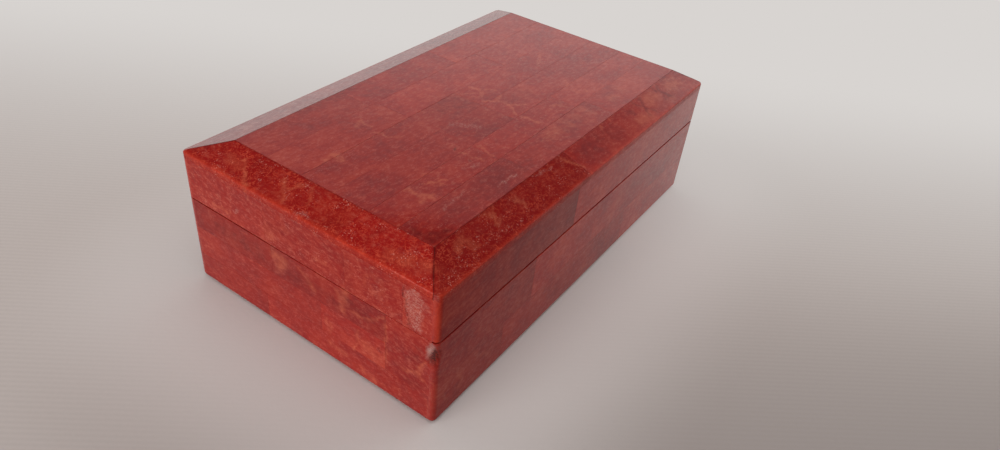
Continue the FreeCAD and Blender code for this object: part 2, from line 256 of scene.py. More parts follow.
def white_paper():
    """Ribbed paper, whose rib is painted as faint stripes of shade. Its colour goes by the distance in metres
    from the middle and from the sides of the case, and along three headings: behind the case, nearer to the
    viewer, and aside. It has painted light close to the case and painted shade towards the viewer."""
    paper = Finish(bpy.data.materials.new("white_paper"))
    where = paper.place()
    behind, nearer, aside = (paper.dot(where, heading) for heading in (BEHIND, NEARER, ASIDE))
    fade = paper.math("MAXIMUM", paper.step(paper.length(where), 0.25, 0.9), paper.step(behind, -0.05, 0.16))

    fibre = paper.step(paper.noise(where, 900.0, 3.0), 0.3, 0.7)
    # The rib is painted shade: faint darker stripes in the colour, with no relief.
    rib_axis = Vector((math.cos(RIB_HEADING), math.sin(RIB_HEADING), 0.0)) * (2 * math.pi / (RIB_PITCH * MM))
    rib = paper.math("SINE", paper.dot(where, rib_axis))
    weave = paper.math("ADD", paper.times(fibre, 0.3), paper.math("ADD", paper.times(rib, 0.35), 0.35))
    colour = paper.mix(weave, PAPER_SHADE, PAPER)

    # Painted shade: a soft darker patch on the paper towards the viewer.
    shade = paper.times(paper.step(nearer, 0.0, 0.12, 0.0, 0.85), paper.step(nearer, 0.15, 0.32, 1.0, 0.0))
    shade = paper.times(shade, paper.step(aside, -0.20, -0.03))
    shade = paper.times(shade, paper.step(aside, 0.14, 0.32, 1.0, 0.0))
    colour = paper.mix(shade, colour, PAPER_PAINTED_SHADE)
    # Painted light: the paper is lighter within a few cm of the case's sides.
    outside = paper.vector("SUBTRACT", paper.vector("ABSOLUTE", where, NO_LENGTH), CASE_HALF)
    beside = paper.length(paper.vector("MAXIMUM", outside, NO_LENGTH))
    colour = paper.mix(paper.step(beside, 0.0, 0.06, 0.85, 0.0), colour, PAPER_PAINTED_LIGHT)

    relief = paper.bump(paper.noise(where, 500.0, 3.0), 0.0001, 0.4)
    face = paper.node("ShaderNodeBsdfDiffuse", {"Color": colour, "Normal": relief}).outputs[0]
    glow = paper.node("ShaderNodeEmission", {"Color": BACKDROP, "Strength": 1.0}).outputs[0]
    return paper.surface(paper.node("ShaderNodeMixShader", {0: fade, 1: face, 2: glow}).outputs[0])


floor_mesh.materials.append(white_paper())
print("paper nodes:", len(floor_mesh.materials[0].node_tree.nodes))

# %% Sky
NEAR_WHITE, LOW_WALL, HIGH_WALL, RIGHT_WALL, CEILING = 0.88, 0.42, 0.34, 0.24, 0.03
AHEAD, LEFT_LEAN, RIGHT_LEAN = (0.7, 0.7, 0.0), (-0.1, 0.0, 1.0), (-0.13, 0.0, 1.0)


def grey(level):
    """A faintly warm grey of that level of light."""
    return (level, 0.985 * level, 0.97 * level, 1.0)


def room_sky():
    """Walls by heading and height: bright ahead of the camera, dim behind it, and over both a dark ceiling
    with a leaning edge. The camera itself sees the plain backdrop."""
    sky = Finish(bpy.data.worlds.new("room"))
    gaze = sky.node("ShaderNodeTexCoord").outputs["Generated"]
    aim = sky.node("ShaderNodeSeparateXYZ", {0: gaze})
    height = aim.outputs["Z"]
    to_left = sky.step(aim.outputs["Y"], 0.12, 0.28)
    to_right = sky.math("SUBTRACT", 1.0, to_left)
    ahead = sky.step(sky.dot(gaze, AHEAD), -0.2, 0.5)

    left_wall = sky.mix(sky.step(height, 0.36, 0.56), grey(NEAR_WHITE), grey(HIGH_WALL))
    right_wall = sky.mix(sky.step(height, 0.49, 0.575), grey(NEAR_WHITE), grey(RIGHT_WALL))
    wall = sky.mix(ahead, grey(LOW_WALL), sky.mix(to_left, right_wall, left_wall))
    left_ceiling = sky.step(sky.dot(gaze, LEFT_LEAN), 0.520, 0.548)
    left_ceiling = sky.math("MAXIMUM", left_ceiling, sky.step(height, 0.63, 0.66))
    right_ceiling = sky.step(sky.dot(gaze, RIGHT_LEAN), 0.518, 0.540)
    ceiling = sky.math("ADD", sky.times(left_ceiling, to_left), sky.times(right_ceiling, to_right))
    room = sky.mix(ceiling, wall, grey(CEILING))
    seen = sky.node("ShaderNodeLightPath").outputs["Is Camera Ray"]
    return sky.surface(sky.node("ShaderNodeBackground", {"Color": sky.mix(seen, room, BACKDROP)}).outputs[0])


bpy.context.scene.world = room_sky()
print("sky nodes:", len(bpy.context.scene.world.node_tree.nodes))

# %% Lamps
LAMP_COLOUR = (1.0, 0.985, 0.965)
LAMP_AIM = Vector((0.0, 0.0, 0.03))


def soft_lamp(name, place, side, watts):
    """A large square lamp that looks at the case."""
    lamp = bpy.data.objects.new(name, bpy.data.lights.new(name, "AREA"))
    lamp.data.size = side
    lamp.data.energy = watts
    lamp.data.color = LAMP_COLOUR
    lamp.visible_camera = False
    lamp.location = place
    lamp.rotation_mode = "QUATERNION"
    lamp.rotation_quaternion = (LAMP_AIM - lamp.location).to_track_quat("-Z", "Y")
    bpy.context.scene.collection.objects.link(lamp)
    print(name, "elevation:", round(math.degrees(math.asin(lamp.location.normalized().z)), 1))
    return lamp


soft_lamp("window", (-0.88, 0.0, 0.42), 1.0, 6.2)
overhead = soft_lamp("overhead", (0.05, -0.15, 1.2), 1.6, 10.5)
overhead.visible_glossy = False

# %% [markdown]
# ## Blocks with fine edges
# A tile could be a plain cube, but its edges catch the light and its joints are what the eye follows.
# Each tile is a lattice of points in three directions, of which only the skin is kept. Close stations at
# the edges give room for rounding, and a mask leaves out the cells where a hinge passes.

# %% Stations, lattices and rounding
def stations(length, step, near=(), far=()):
    """Places along a run from 0 to length: even steps, and the given distances from its two ends."""
    count = max(1, math.ceil(length / step))
    places = np.concatenate([np.linspace(0.0, length, count + 1), near, length - np.array(far, float)])
    return np.unique(places[(places >= 0.0) & (places <= length)].round(4))


def lattice_of(u, v, w):
    """All points (u, v, w) of three lists of stations, as an array of shape (u, v, w, 3)."""
    return np.stack(np.meshgrid(u, v, w, indexing="ij"), -1)


def round_off(points, low, high, radius):
    """Rounds a box's edges: outside its core, the square distance becomes the length of the way out."""
    core = np.clip(points, np.asarray(low) + radius, np.asarray(high) - radius)
    out = points - core
    length = np.maximum(np.linalg.norm(out, axis=-1, keepdims=True), 1e-9)
    return core + out * (np.abs(out).max(-1, keepdims=True) / length)


print("stations of a run of 10 mm:", stations(10.0, 4.0, (0.5,), (0.5,)))

# %% Skins and pieces
def skin(shape, solid=None):
    """Quads over the outside of a lattice of that shape, of which solid says which (u, v) columns exist.
    A quad lies on the first and last layer of each column, and wherever solid changes between columns."""
    across, along, deep = shape
    number = np.arange(across * along * deep).reshape(shape)
    if solid is None:
        solid = np.ones((across - 1, along - 1), bool)
    sheet = np.stack([number[:-1, :-1], number[1:, :-1], number[1:, 1:], number[:-1, 1:]], -1)
    quads = [sheet[:, :, 0][solid], sheet[:, :, -1][solid][:, ::-1]]
    change = np.diff(np.pad(solid.astype(int), ((1, 1), (0, 0))), axis=0)
    side = np.stack([number[:, :-1, :-1], number[:, :-1, 1:], number[:, 1:, 1:], number[:, 1:, :-1]], -1)
    quads += [side[change < 0].reshape(-1, 4), side[change > 0].reshape(-1, 4)[:, ::-1]]
    change = np.diff(np.pad(solid.astype(int), ((0, 0), (1, 1))), axis=1)
    side = np.stack([number[:-1, :, :-1], number[1:, :, :-1], number[1:, :, 1:], number[:-1, :, 1:]], -1)
    quads += [side[change < 0].reshape(-1, 4), side[change > 0].reshape(-1, 4)[:, ::-1]]
    return np.concatenate(quads)


def add_piece(name, blocks, material, body, nodes, sharp=40.0):
    """Makes one object of several blocks. A block has points in mm, quads and painted numbers per point."""
    points, quads, paint, count = [], [], {}, 0
    for block in blocks:
        rows = block["points"].reshape(-1, 3)
        used, renumbered = np.unique(block["quads"], return_inverse=True)
        points.append(rows[used])
        quads.append(renumbered.reshape(-1, 4) + count)
        for key, value in block.get("paint", {}).items():
            paint.setdefault(key, []).append(value.reshape(len(rows), -1)[used])
        count += len(used)
    mesh = bpy.data.meshes.new(name)
    mesh.from_pydata((np.concatenate(points) * MM).tolist(), [], np.concatenate(quads).tolist())
    for key, values in paint.items():
        numbers = np.concatenate(values).astype(np.float32)
        kind, field = ("FLOAT_VECTOR", "vector") if numbers.shape[1] == 3 else ("FLOAT", "value")
        mesh.attributes.new(key, kind, "POINT").data.foreach_set(field, numbers.ravel())
    mesh.shade_smooth()
    mesh.set_sharp_from_angle(angle=math.radians(sharp))
    mesh.materials.append(material)
    piece = bpy.data.objects.new(name, mesh)
    bpy.context.scene.collection.objects.link(piece)
    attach(piece, body)
    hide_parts(*nodes)
    print(f"{name}: {len(blocks)} blocks, {len(mesh.polygons)} faces")
    return piece


print("faces of a block of 3 x 3 x 3 cells:", len(skin((4, 4, 4))))

# %% [markdown]
# ## Where the tiles lie
# The CAD model has one node for each face of the case, with all the tiles of that face in it as separate
# solids. Their sizes could be typed in again, but reading them off the frame keeps both models alike:
# triangles that share a corner belong together, and each group's box is one tile.

# %% Boxes of the solids in a node
def box_of(node):
    """Low and high corner of a node in mm."""
    return [np.array(corner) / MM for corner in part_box(node)]


def corners_of(mesh):
    """Places of a mesh's corners in metres, one row each."""
    places = np.empty(len(mesh.vertices) * 3, np.float32)
    mesh.vertices.foreach_get("co", places)
    return places.reshape(-1, 3)


def solids_in(node):
    """Low and high corners in mm of each solid of a node, from the lowest up and then from the left.
    Corners that coincide get one number, and every triangle passes the least number of its corners on."""
    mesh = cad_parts[node].data
    corners = corners_of(mesh).astype(float) / MM
    _, spot = np.unique(corners.round(2), axis=0, return_inverse=True)
    spot = spot.reshape(-1)
    triangles = np.empty(len(mesh.polygons) * 3, np.int32)
    mesh.polygons.foreach_get("vertices", triangles)
    triangles = spot[triangles].reshape(-1, 3)
    group = np.arange(spot.max() + 1)
    settled = False
    while not settled:
        lower = group.copy()
        np.minimum.at(lower, triangles, group[triangles].min(1, keepdims=True))
        settled = bool((lower == group).all())
        group = lower[lower]
    _, owner = np.unique(group[spot], return_inverse=True)
    low = np.full((owner.max() + 1, 3), np.inf)
    high = -low
    np.minimum.at(low, owner, corners)
    np.maximum.at(high, owner, corners)
    return low.round(3), high.round(3)


tile_count = {node: len(solids_in(node)[0]) for node in sorted(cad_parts) if node.endswith("tiles")}
print("tiles:", tile_count)

# %% Tiles in a face's own terms
SIDES = {
    "front": ((1, 0, 0), (0, 0, 1), (0, -1, 0)),
    "right": ((0, 1, 0), (0, 0, 1), (1, 0, 0)),
    "back": ((-1, 0, 0), (0, 0, 1), (0, 1, 0)),
    "left": ((0, -1, 0), (0, 0, 1), (-1, 0, 0)),
    "top": ((1, 0, 0), (0, 1, 0), (0, 0, 1)),
}
WALLS, SHOWN_WALLS = ("front", "right", "back", "left"), ("front", "left")


def boxes_on(side, node):
    """Each tile of a node in the face's own terms: its start and end along the face (u) and up it (v), and
    the level of its outside and its thickness (w). Tiles come row by row from the bottom left."""
    axes = np.array(SIDES[side], float)
    first, second = (corner @ axes.T for corner in solids_in(node))
    low, high = np.minimum(first, second), np.maximum(first, second)
    order = np.lexsort((low[:, 0], low[:, 1].round(1)))
    return low[order], high[order]


first_low, first_high = (rows[0] for rows in boxes_on("front", "base_front_tiles"))
print("first tile of the front in mm, from:", first_low, "to:", first_high)

# %% [markdown]
# ## Coral stone
# Sponge coral is red, with pale orange walls between its cells, purplish stains and a fine grain that
# shows as a worm-like net. A picture of stone could be wrapped round the case, but each tile was sawn
# from its own bit of the block, so the pattern has to break at every joint. Here each tile carries its
# own stone coordinates in mm, and numbers for its tone, stain, veins, grain, marks, bright edges and gloss.
# The bright edges are partly wear and partly painted highlight. Pale glints on top of the grain are painted
# highlights, and the dark of the chip and the pits is painted shade.

# %% Colours of the stone
PLUM_RED = linear(136, 28, 29)
CORAL_RED = linear(160, 34, 25)
BRICK_RED = linear(180, 62, 44)
DEEP_RED = linear(146, 12, 10)
WORM_ORANGE = linear(200, 76, 54)
VEIN_ORANGE = linear(202, 100, 72)
MARK_DARK = linear(107, 11, 11)
EDGE_ORANGE_WEAR_AND_HIGHLIGHT = linear(200, 60, 36)
FLECK_PINK = linear(216, 118, 96)
GLINT_PAINTED_HIGHLIGHT = linear(232, 164, 150)
SCUFF_AND_GLINT_PALE = linear(192, 140, 130)
CHIP_PALE = linear(188, 148, 140)
CHIP_HOLLOW_SHADE = linear(70, 26, 22)
print("red, green and blue light that coral gives back:", np.round(CORAL_RED[:3], 3))

# %% Ground and grain of the stone
CLOUD_SCALE = 0.075


def stone_ground(stone, where, mottle):
    """Colour of the plain stone: one noise in three sizes leads it from plum over coral to brick."""
    cloud = stone.noise(where, CLOUD_SCALE, 3.0, 0.5)
    streak = stone.noise(stone.vector("MULTIPLY", where, (0.14, 1.3, 1.3)), 1.0, 4.0, 0.65)
    warmth = stone.math("ADD", stone.times(cloud, 0.45), stone.times(mottle, 0.30))
    warmth = stone.math("ADD", warmth, stone.times(streak, 0.25))
    warmth = stone.math("SUBTRACT", warmth, stone.times(stone.painted("stain"), 0.08))
    body = stone.mix(stone.step(warmth, 0.30, 0.54), PLUM_RED, CORAL_RED)
    return stone.mix(stone.step(warmth, 0.46, 0.70), body, BRICK_RED)


def stone_specks(stone, body, speck, grain):
    """Lays dark and pale specks over the ground, stronger where the grain is coarser."""
    coarse = stone.math("MINIMUM", stone.math("ADD", stone.times(grain, 2.8), 0.4), 2.5)
    body = stone.mix(stone.times(stone.step(speck, 0.36, 0.50, 0.30, 0.0), coarse), body, DEEP_RED)
    fleck = stone.times(stone.step(speck, 0.50, 0.64, 0.0, 0.22), stone.math("MINIMUM", coarse, 1.7))
    return stone.mix(fleck, body, FLECK_PINK)


def stone_net(stone, body, where, mottle, grain):
    """Lays the net of coarse grain in patches of deeper red: it follows the lines along which a noise crosses
    its middle. Clusters of painted glints, small highlights of light, come on top. Gives back the colour, and
    where the net lies."""
    patch = stone.times(stone.step(stone.noise(where, 0.13, 3.0, 0.5), 0.32, 0.56, 0.35, 1.0),
                        stone.step(grain, 0.55, 0.9))
    worm = stone.step(stone.off_middle(stone.noise(where, 0.8, 2.0, 0.5)), 0.010, 0.048, 1.0, 0.0)
    thread = stone.step(stone.off_middle(stone.noise(where, 1.7, 1.0, 0.5)), 0.010, 0.058, 1.0, 0.0)
    lines = stone.times(worm, stone.step(mottle, 0.40, 0.60, 0.32, 0.88))
    net = stone.times(lines, patch)
    body = stone.mix(stone.times(patch, 0.75), body, DEEP_RED)
    body = stone.mix(stone.times(stone.times(thread, patch), 0.30), body, MARK_DARK)
    body = stone.mix(stone.times(net, 0.8), body, WORM_ORANGE)
    # Painted highlight: clusters of pale glints, where the lacquer would catch a light.
    cluster = stone.step(stone.noise(where, 0.24, 2.0), 0.47, 0.66)
    glint = stone.times(cluster, stone.step(stone.noise(where, 2.3, 1.0), 0.60, 0.72))
    return stone.mix(stone.times(glint, stone.times(grain, 0.55)), body, GLINT_PAINTED_HIGHLIGHT), net


print("clouds of colour are about", round(1 / CLOUD_SCALE, 1), "mm wide")

# %% Veins and marks of the stone
VEIN_SCALE = 0.085


def stone_veins(stone, body, where, warped, mottle, speck):
    """Lays on bright edges, partly wear and partly painted highlight, and veins: the borders of large warped
    cells, widest where three meet.
    """
    # Bright edges: partly worn stone, partly a painted highlight where the arris and the rounded corners
    # catch light.
    wear_and_highlight_rim = stone.times(stone.painted("edge"), stone.step(mottle, 0.25, 0.6, 0.4, 0.85))
    body = stone.mix(stone.times(wear_and_highlight_rim, stone.step(speck, 0.36, 0.64, 0.7, 1.0)), body, EDGE_ORANGE_WEAR_AND_HIGHLIGHT)
    border = stone.cells(warped, VEIN_SCALE, "DISTANCE_TO_EDGE")
    width = stone.step(stone.cells(warped, VEIN_SCALE), 0.42, 0.85, 0.012, 0.055)
    arm = stone.step(stone.math("DIVIDE", border, width), 0.3, 1.5, 1.0, 0.0)
    broken = stone.step(stone.noise(where, 0.17, 2.0), 0.42, 0.62)
    vein = stone.times(stone.times(arm, broken), stone.painted("vein"))
    return stone.mix(stone.times(vein, stone.step(speck, 0.4, 0.56, 0.3, 0.7)), body, VEIN_ORANGE)


def stone_marks(stone, body, where, mottle, speck):
    """Lays on the marks that are painted on the mesh, made ragged: pale and dark ones, scuffs that are partly
    painted glints, and chips. The dark in the chips and the pits is painted shade.
    """
    ragged = stone.math("ADD", stone.times(mottle, 0.9), stone.times(speck, 0.5))
    pale = stone.times(stone.painted("pale"), stone.step(ragged, 0.50, 0.88, 0.25, 0.75))
    body = stone.mix(pale, body, VEIN_ORANGE)
    dark = stone.times(stone.painted("dark"), stone.step(ragged, 0.50, 0.88, 0.7, 0.3))
    body = stone.mix(dark, body, MARK_DARK)
    scratch = stone.noise(stone.vector("MULTIPLY", where, (1.9, 3.0, 1.9)), 1.0, 4.0, 0.75)
    # Scuffs and painted glints: pale scratchy spots, part real wear and part painted highlight.
    scuffed_and_glinting = stone.step(stone.painted("scuff_and_glint"), 0.08, 0.5)
    body = stone.mix(stone.times(scuffed_and_glinting, stone.step(scratch, 0.46, 0.60, 0.06, 0.68)), body, SCUFF_AND_GLINT_PALE)
    # Painted shade in the dark of the chip and in the pits; the chip's pale part is its own colour.
    hollow_shade = stone.math("ADD", stone.painted("hollow_shade"), stone.math("SUBTRACT", scratch, 0.5))
    chip_colour = stone.mix(stone.step(hollow_shade, 0.25, 0.75), CHIP_PALE, CHIP_HOLLOW_SHADE)
    chipped = stone.times(stone.painted("chip"), stone.step(scratch, 0.35, 0.6, 0.4, 1.0))
    return stone.mix(chipped, body, chip_colour)


print("cells between the veins are about", round(1 / VEIN_SCALE, 1), "mm wide")

# %% The coral finish
STONE_SPECULAR, STONE_ROUGHNESS, LACQUER_IOR = 0.05, 0.38, 1.56


def coral_stone(name, coat, coat_roughness):
    """Red stone under clear lacquer: ground, specks, net, veins and marks are laid over each other, and the
    result takes the tone that is painted on the mesh. A slow noise warps the mottling and the veins."""
    stone = Finish(bpy.data.materials.new(name))
    where = stone.node("ShaderNodeAttribute", attribute_name="stone").outputs["Vector"]
    wander = stone.vector("SUBTRACT", stone.noise(where, 0.16, 3.0, 0.6, "Color"), (0.5, 0.5, 0.5))
    warped = stone.vector("ADD", where, stone.vector("MULTIPLY", wander, (5.0, 5.0, 5.0)))
    mottle = stone.noise(warped, 0.42, 4.0, 0.6)
    speck = stone.noise(stone.vector("MULTIPLY", where, (0.6, 1.0, 1.0)), 0.9, 5.0, 0.85)
    grain = stone.painted("grain")

    body = stone_ground(stone, where, mottle)
    body = stone_specks(stone, body, speck, grain)
    body, net = stone_net(stone, body, where, mottle, grain)
    body = stone_veins(stone, body, where, warped, mottle, speck)
    body = stone_marks(stone, body, where, mottle, speck)
    tone = stone.painted("tone")
    shade = stone.node("ShaderNodeCombineColor", {"Red": tone, "Green": tone, "Blue": tone}).outputs[0]

    relief = stone.math("ADD", stone.times(speck, 0.4), stone.times(net, 0.5))
    swell = stone.bump(stone.noise(where, 0.12, 2.0), 0.00004, 0.5)
    gloss = stone.times(stone.painted("gloss"), stone.step(speck, 0.36, 0.64, 0.84 * coat, coat))
    return stone.principled({
        "Base Color": stone.tinted(body, shade),
        "Roughness": stone.step(speck, 0.36, 0.64, STONE_ROUGHNESS + 0.15, STONE_ROUGHNESS),
        "Specular IOR Level": STONE_SPECULAR,
        "Normal": stone.bump(relief, 0.000012, 0.5),
        "Coat Weight": gloss,
        "Coat Roughness": coat_roughness,
        "Coat IOR": LACQUER_IOR,
        "Coat Normal": stone.bump(speck, 0.000008, 0.5, swell),
    })


polished_coral = coral_stone("coral_stone_polished", 1.0, 0.05)
satin_coral = coral_stone("coral_stone_satin", 1.0, 0.16)
worn_coral = coral_stone("coral_stone_worn", 0.45, 0.28)
print("coral nodes:", len(polished_coral.node_tree.nodes))

# %% [markdown]
# ## The look of each tile
# On the real case every tile has its own colour and a few marks of its own. Those that the photograph shows
# are set here, and the rest are drawn from a seeded dice, so that every run gives the same case.
# Marks could be modelled or painted on a picture. Here they are brush strokes in mm: each is a short chain
# of runs, and every point of the mesh takes its strength from its distance to them. Some strokes are painted
# light rather than marks of the stone: glints among the scuffs, and painted shade in the pits.

# %% Tile looks: tone, stain, vein and grain, row by row from the bottom left
TILE_LOOKS = {
    "base_left_tiles": [(1.0, 0.2, 0.0, 0.3), (1.08, 0.0, 0.0, 0.3), (1.02, 0.3, 0.2, 0.4),
                        (1.02, 0.2, 0.0, 0.3), (1.1, -0.2, 0.0, 0.3), (1.0, 0.5, 0.1, 0.4),
                        (0.9, 0.8, 0.0, 0.25), (0.94, 0.7, 0.0, 0.25)],
    "lid_left_tiles": [(1.05, 0.0, 0.0, 0.55), (1.0, 0.2, 0.0, 0.55), (1.0, 0.1, 0.0, 0.55),
                       (1.02, 0.0, 0.0, 0.5)],
    "base_front_tiles": [(0.74, 0.2, 0.3, 0.15), (0.86, 0.4, 0.0, 0.1), (1.02, 0.2, 0.2, 0.05),
                         (0.74, 0.3, 0.2, 0.15), (1.0, 0.0, 0.0, 0.1), (0.98, 0.4, 0.1, 0.05)],
    "lid_front_tiles": [(0.65, 0.1, 0.0, 0.15), (1.02, 0.1, 0.0, 0.05)],
    "lid_left_bevel_tiles": [(0.94, 0.3, 0.0, 0.9), (0.90, 0.3, 0.0, 1.0), (1.0, 0.2, 0.0, 0.95)],
    "lid_front_bevel_tiles": [(0.72, 0.4, 0.0, 0.95), (0.84, 0.1, 0.0, 0.25)],
    "lid_top_tiles": [(0.81, 0.6, 0.0, 0.25), (0.88, 0.5, 0.0, 0.2), (0.95, 0.2, 0.1, 0.1),
                      (0.86, 0.4, 0.0, 0.28), (0.92, 0.4, 0.0, 0.2), (0.97, 0.2, 0.1, 0.1),
                      (0.84, 0.4, 0.0, 0.22), (0.94, 0.3, 0.1, 0.12),
                      (0.85, 0.4, 0.0, 0.2), (0.96, 0.2, 0.1, 0.1),
                      (0.88, 0.1, 0.0, 0.15), (0.98, 0.0, 0.0, 0.1), (0.98, 0.1, 0.1, 0.05),
                      (0.86, 0.4, 0.0, 0.15), (0.95, 0.4, 0.0, 0.1), (0.98, 0.2, 0.0, 0.05)],
}
dice = np.random.default_rng(23)


def look_of(node, index):
    """The look that the photograph shows for a tile, or one from the dice where it shows none."""
    tone, stain = dice.uniform(0.92, 1.06), dice.uniform(0.0, 0.5)
    vein, grain = dice.choice((0.0, 0.1, 0.3)), dice.uniform(0.1, 0.4)
    shown = TILE_LOOKS[node][index] if node in TILE_LOOKS else (tone, stain, vein, grain)
    return dict(zip(("tone", "stain", "vein", "grain"), shown))


print("tiles with a look set by hand:", sum(len(looks) for looks in TILE_LOOKS.values()))

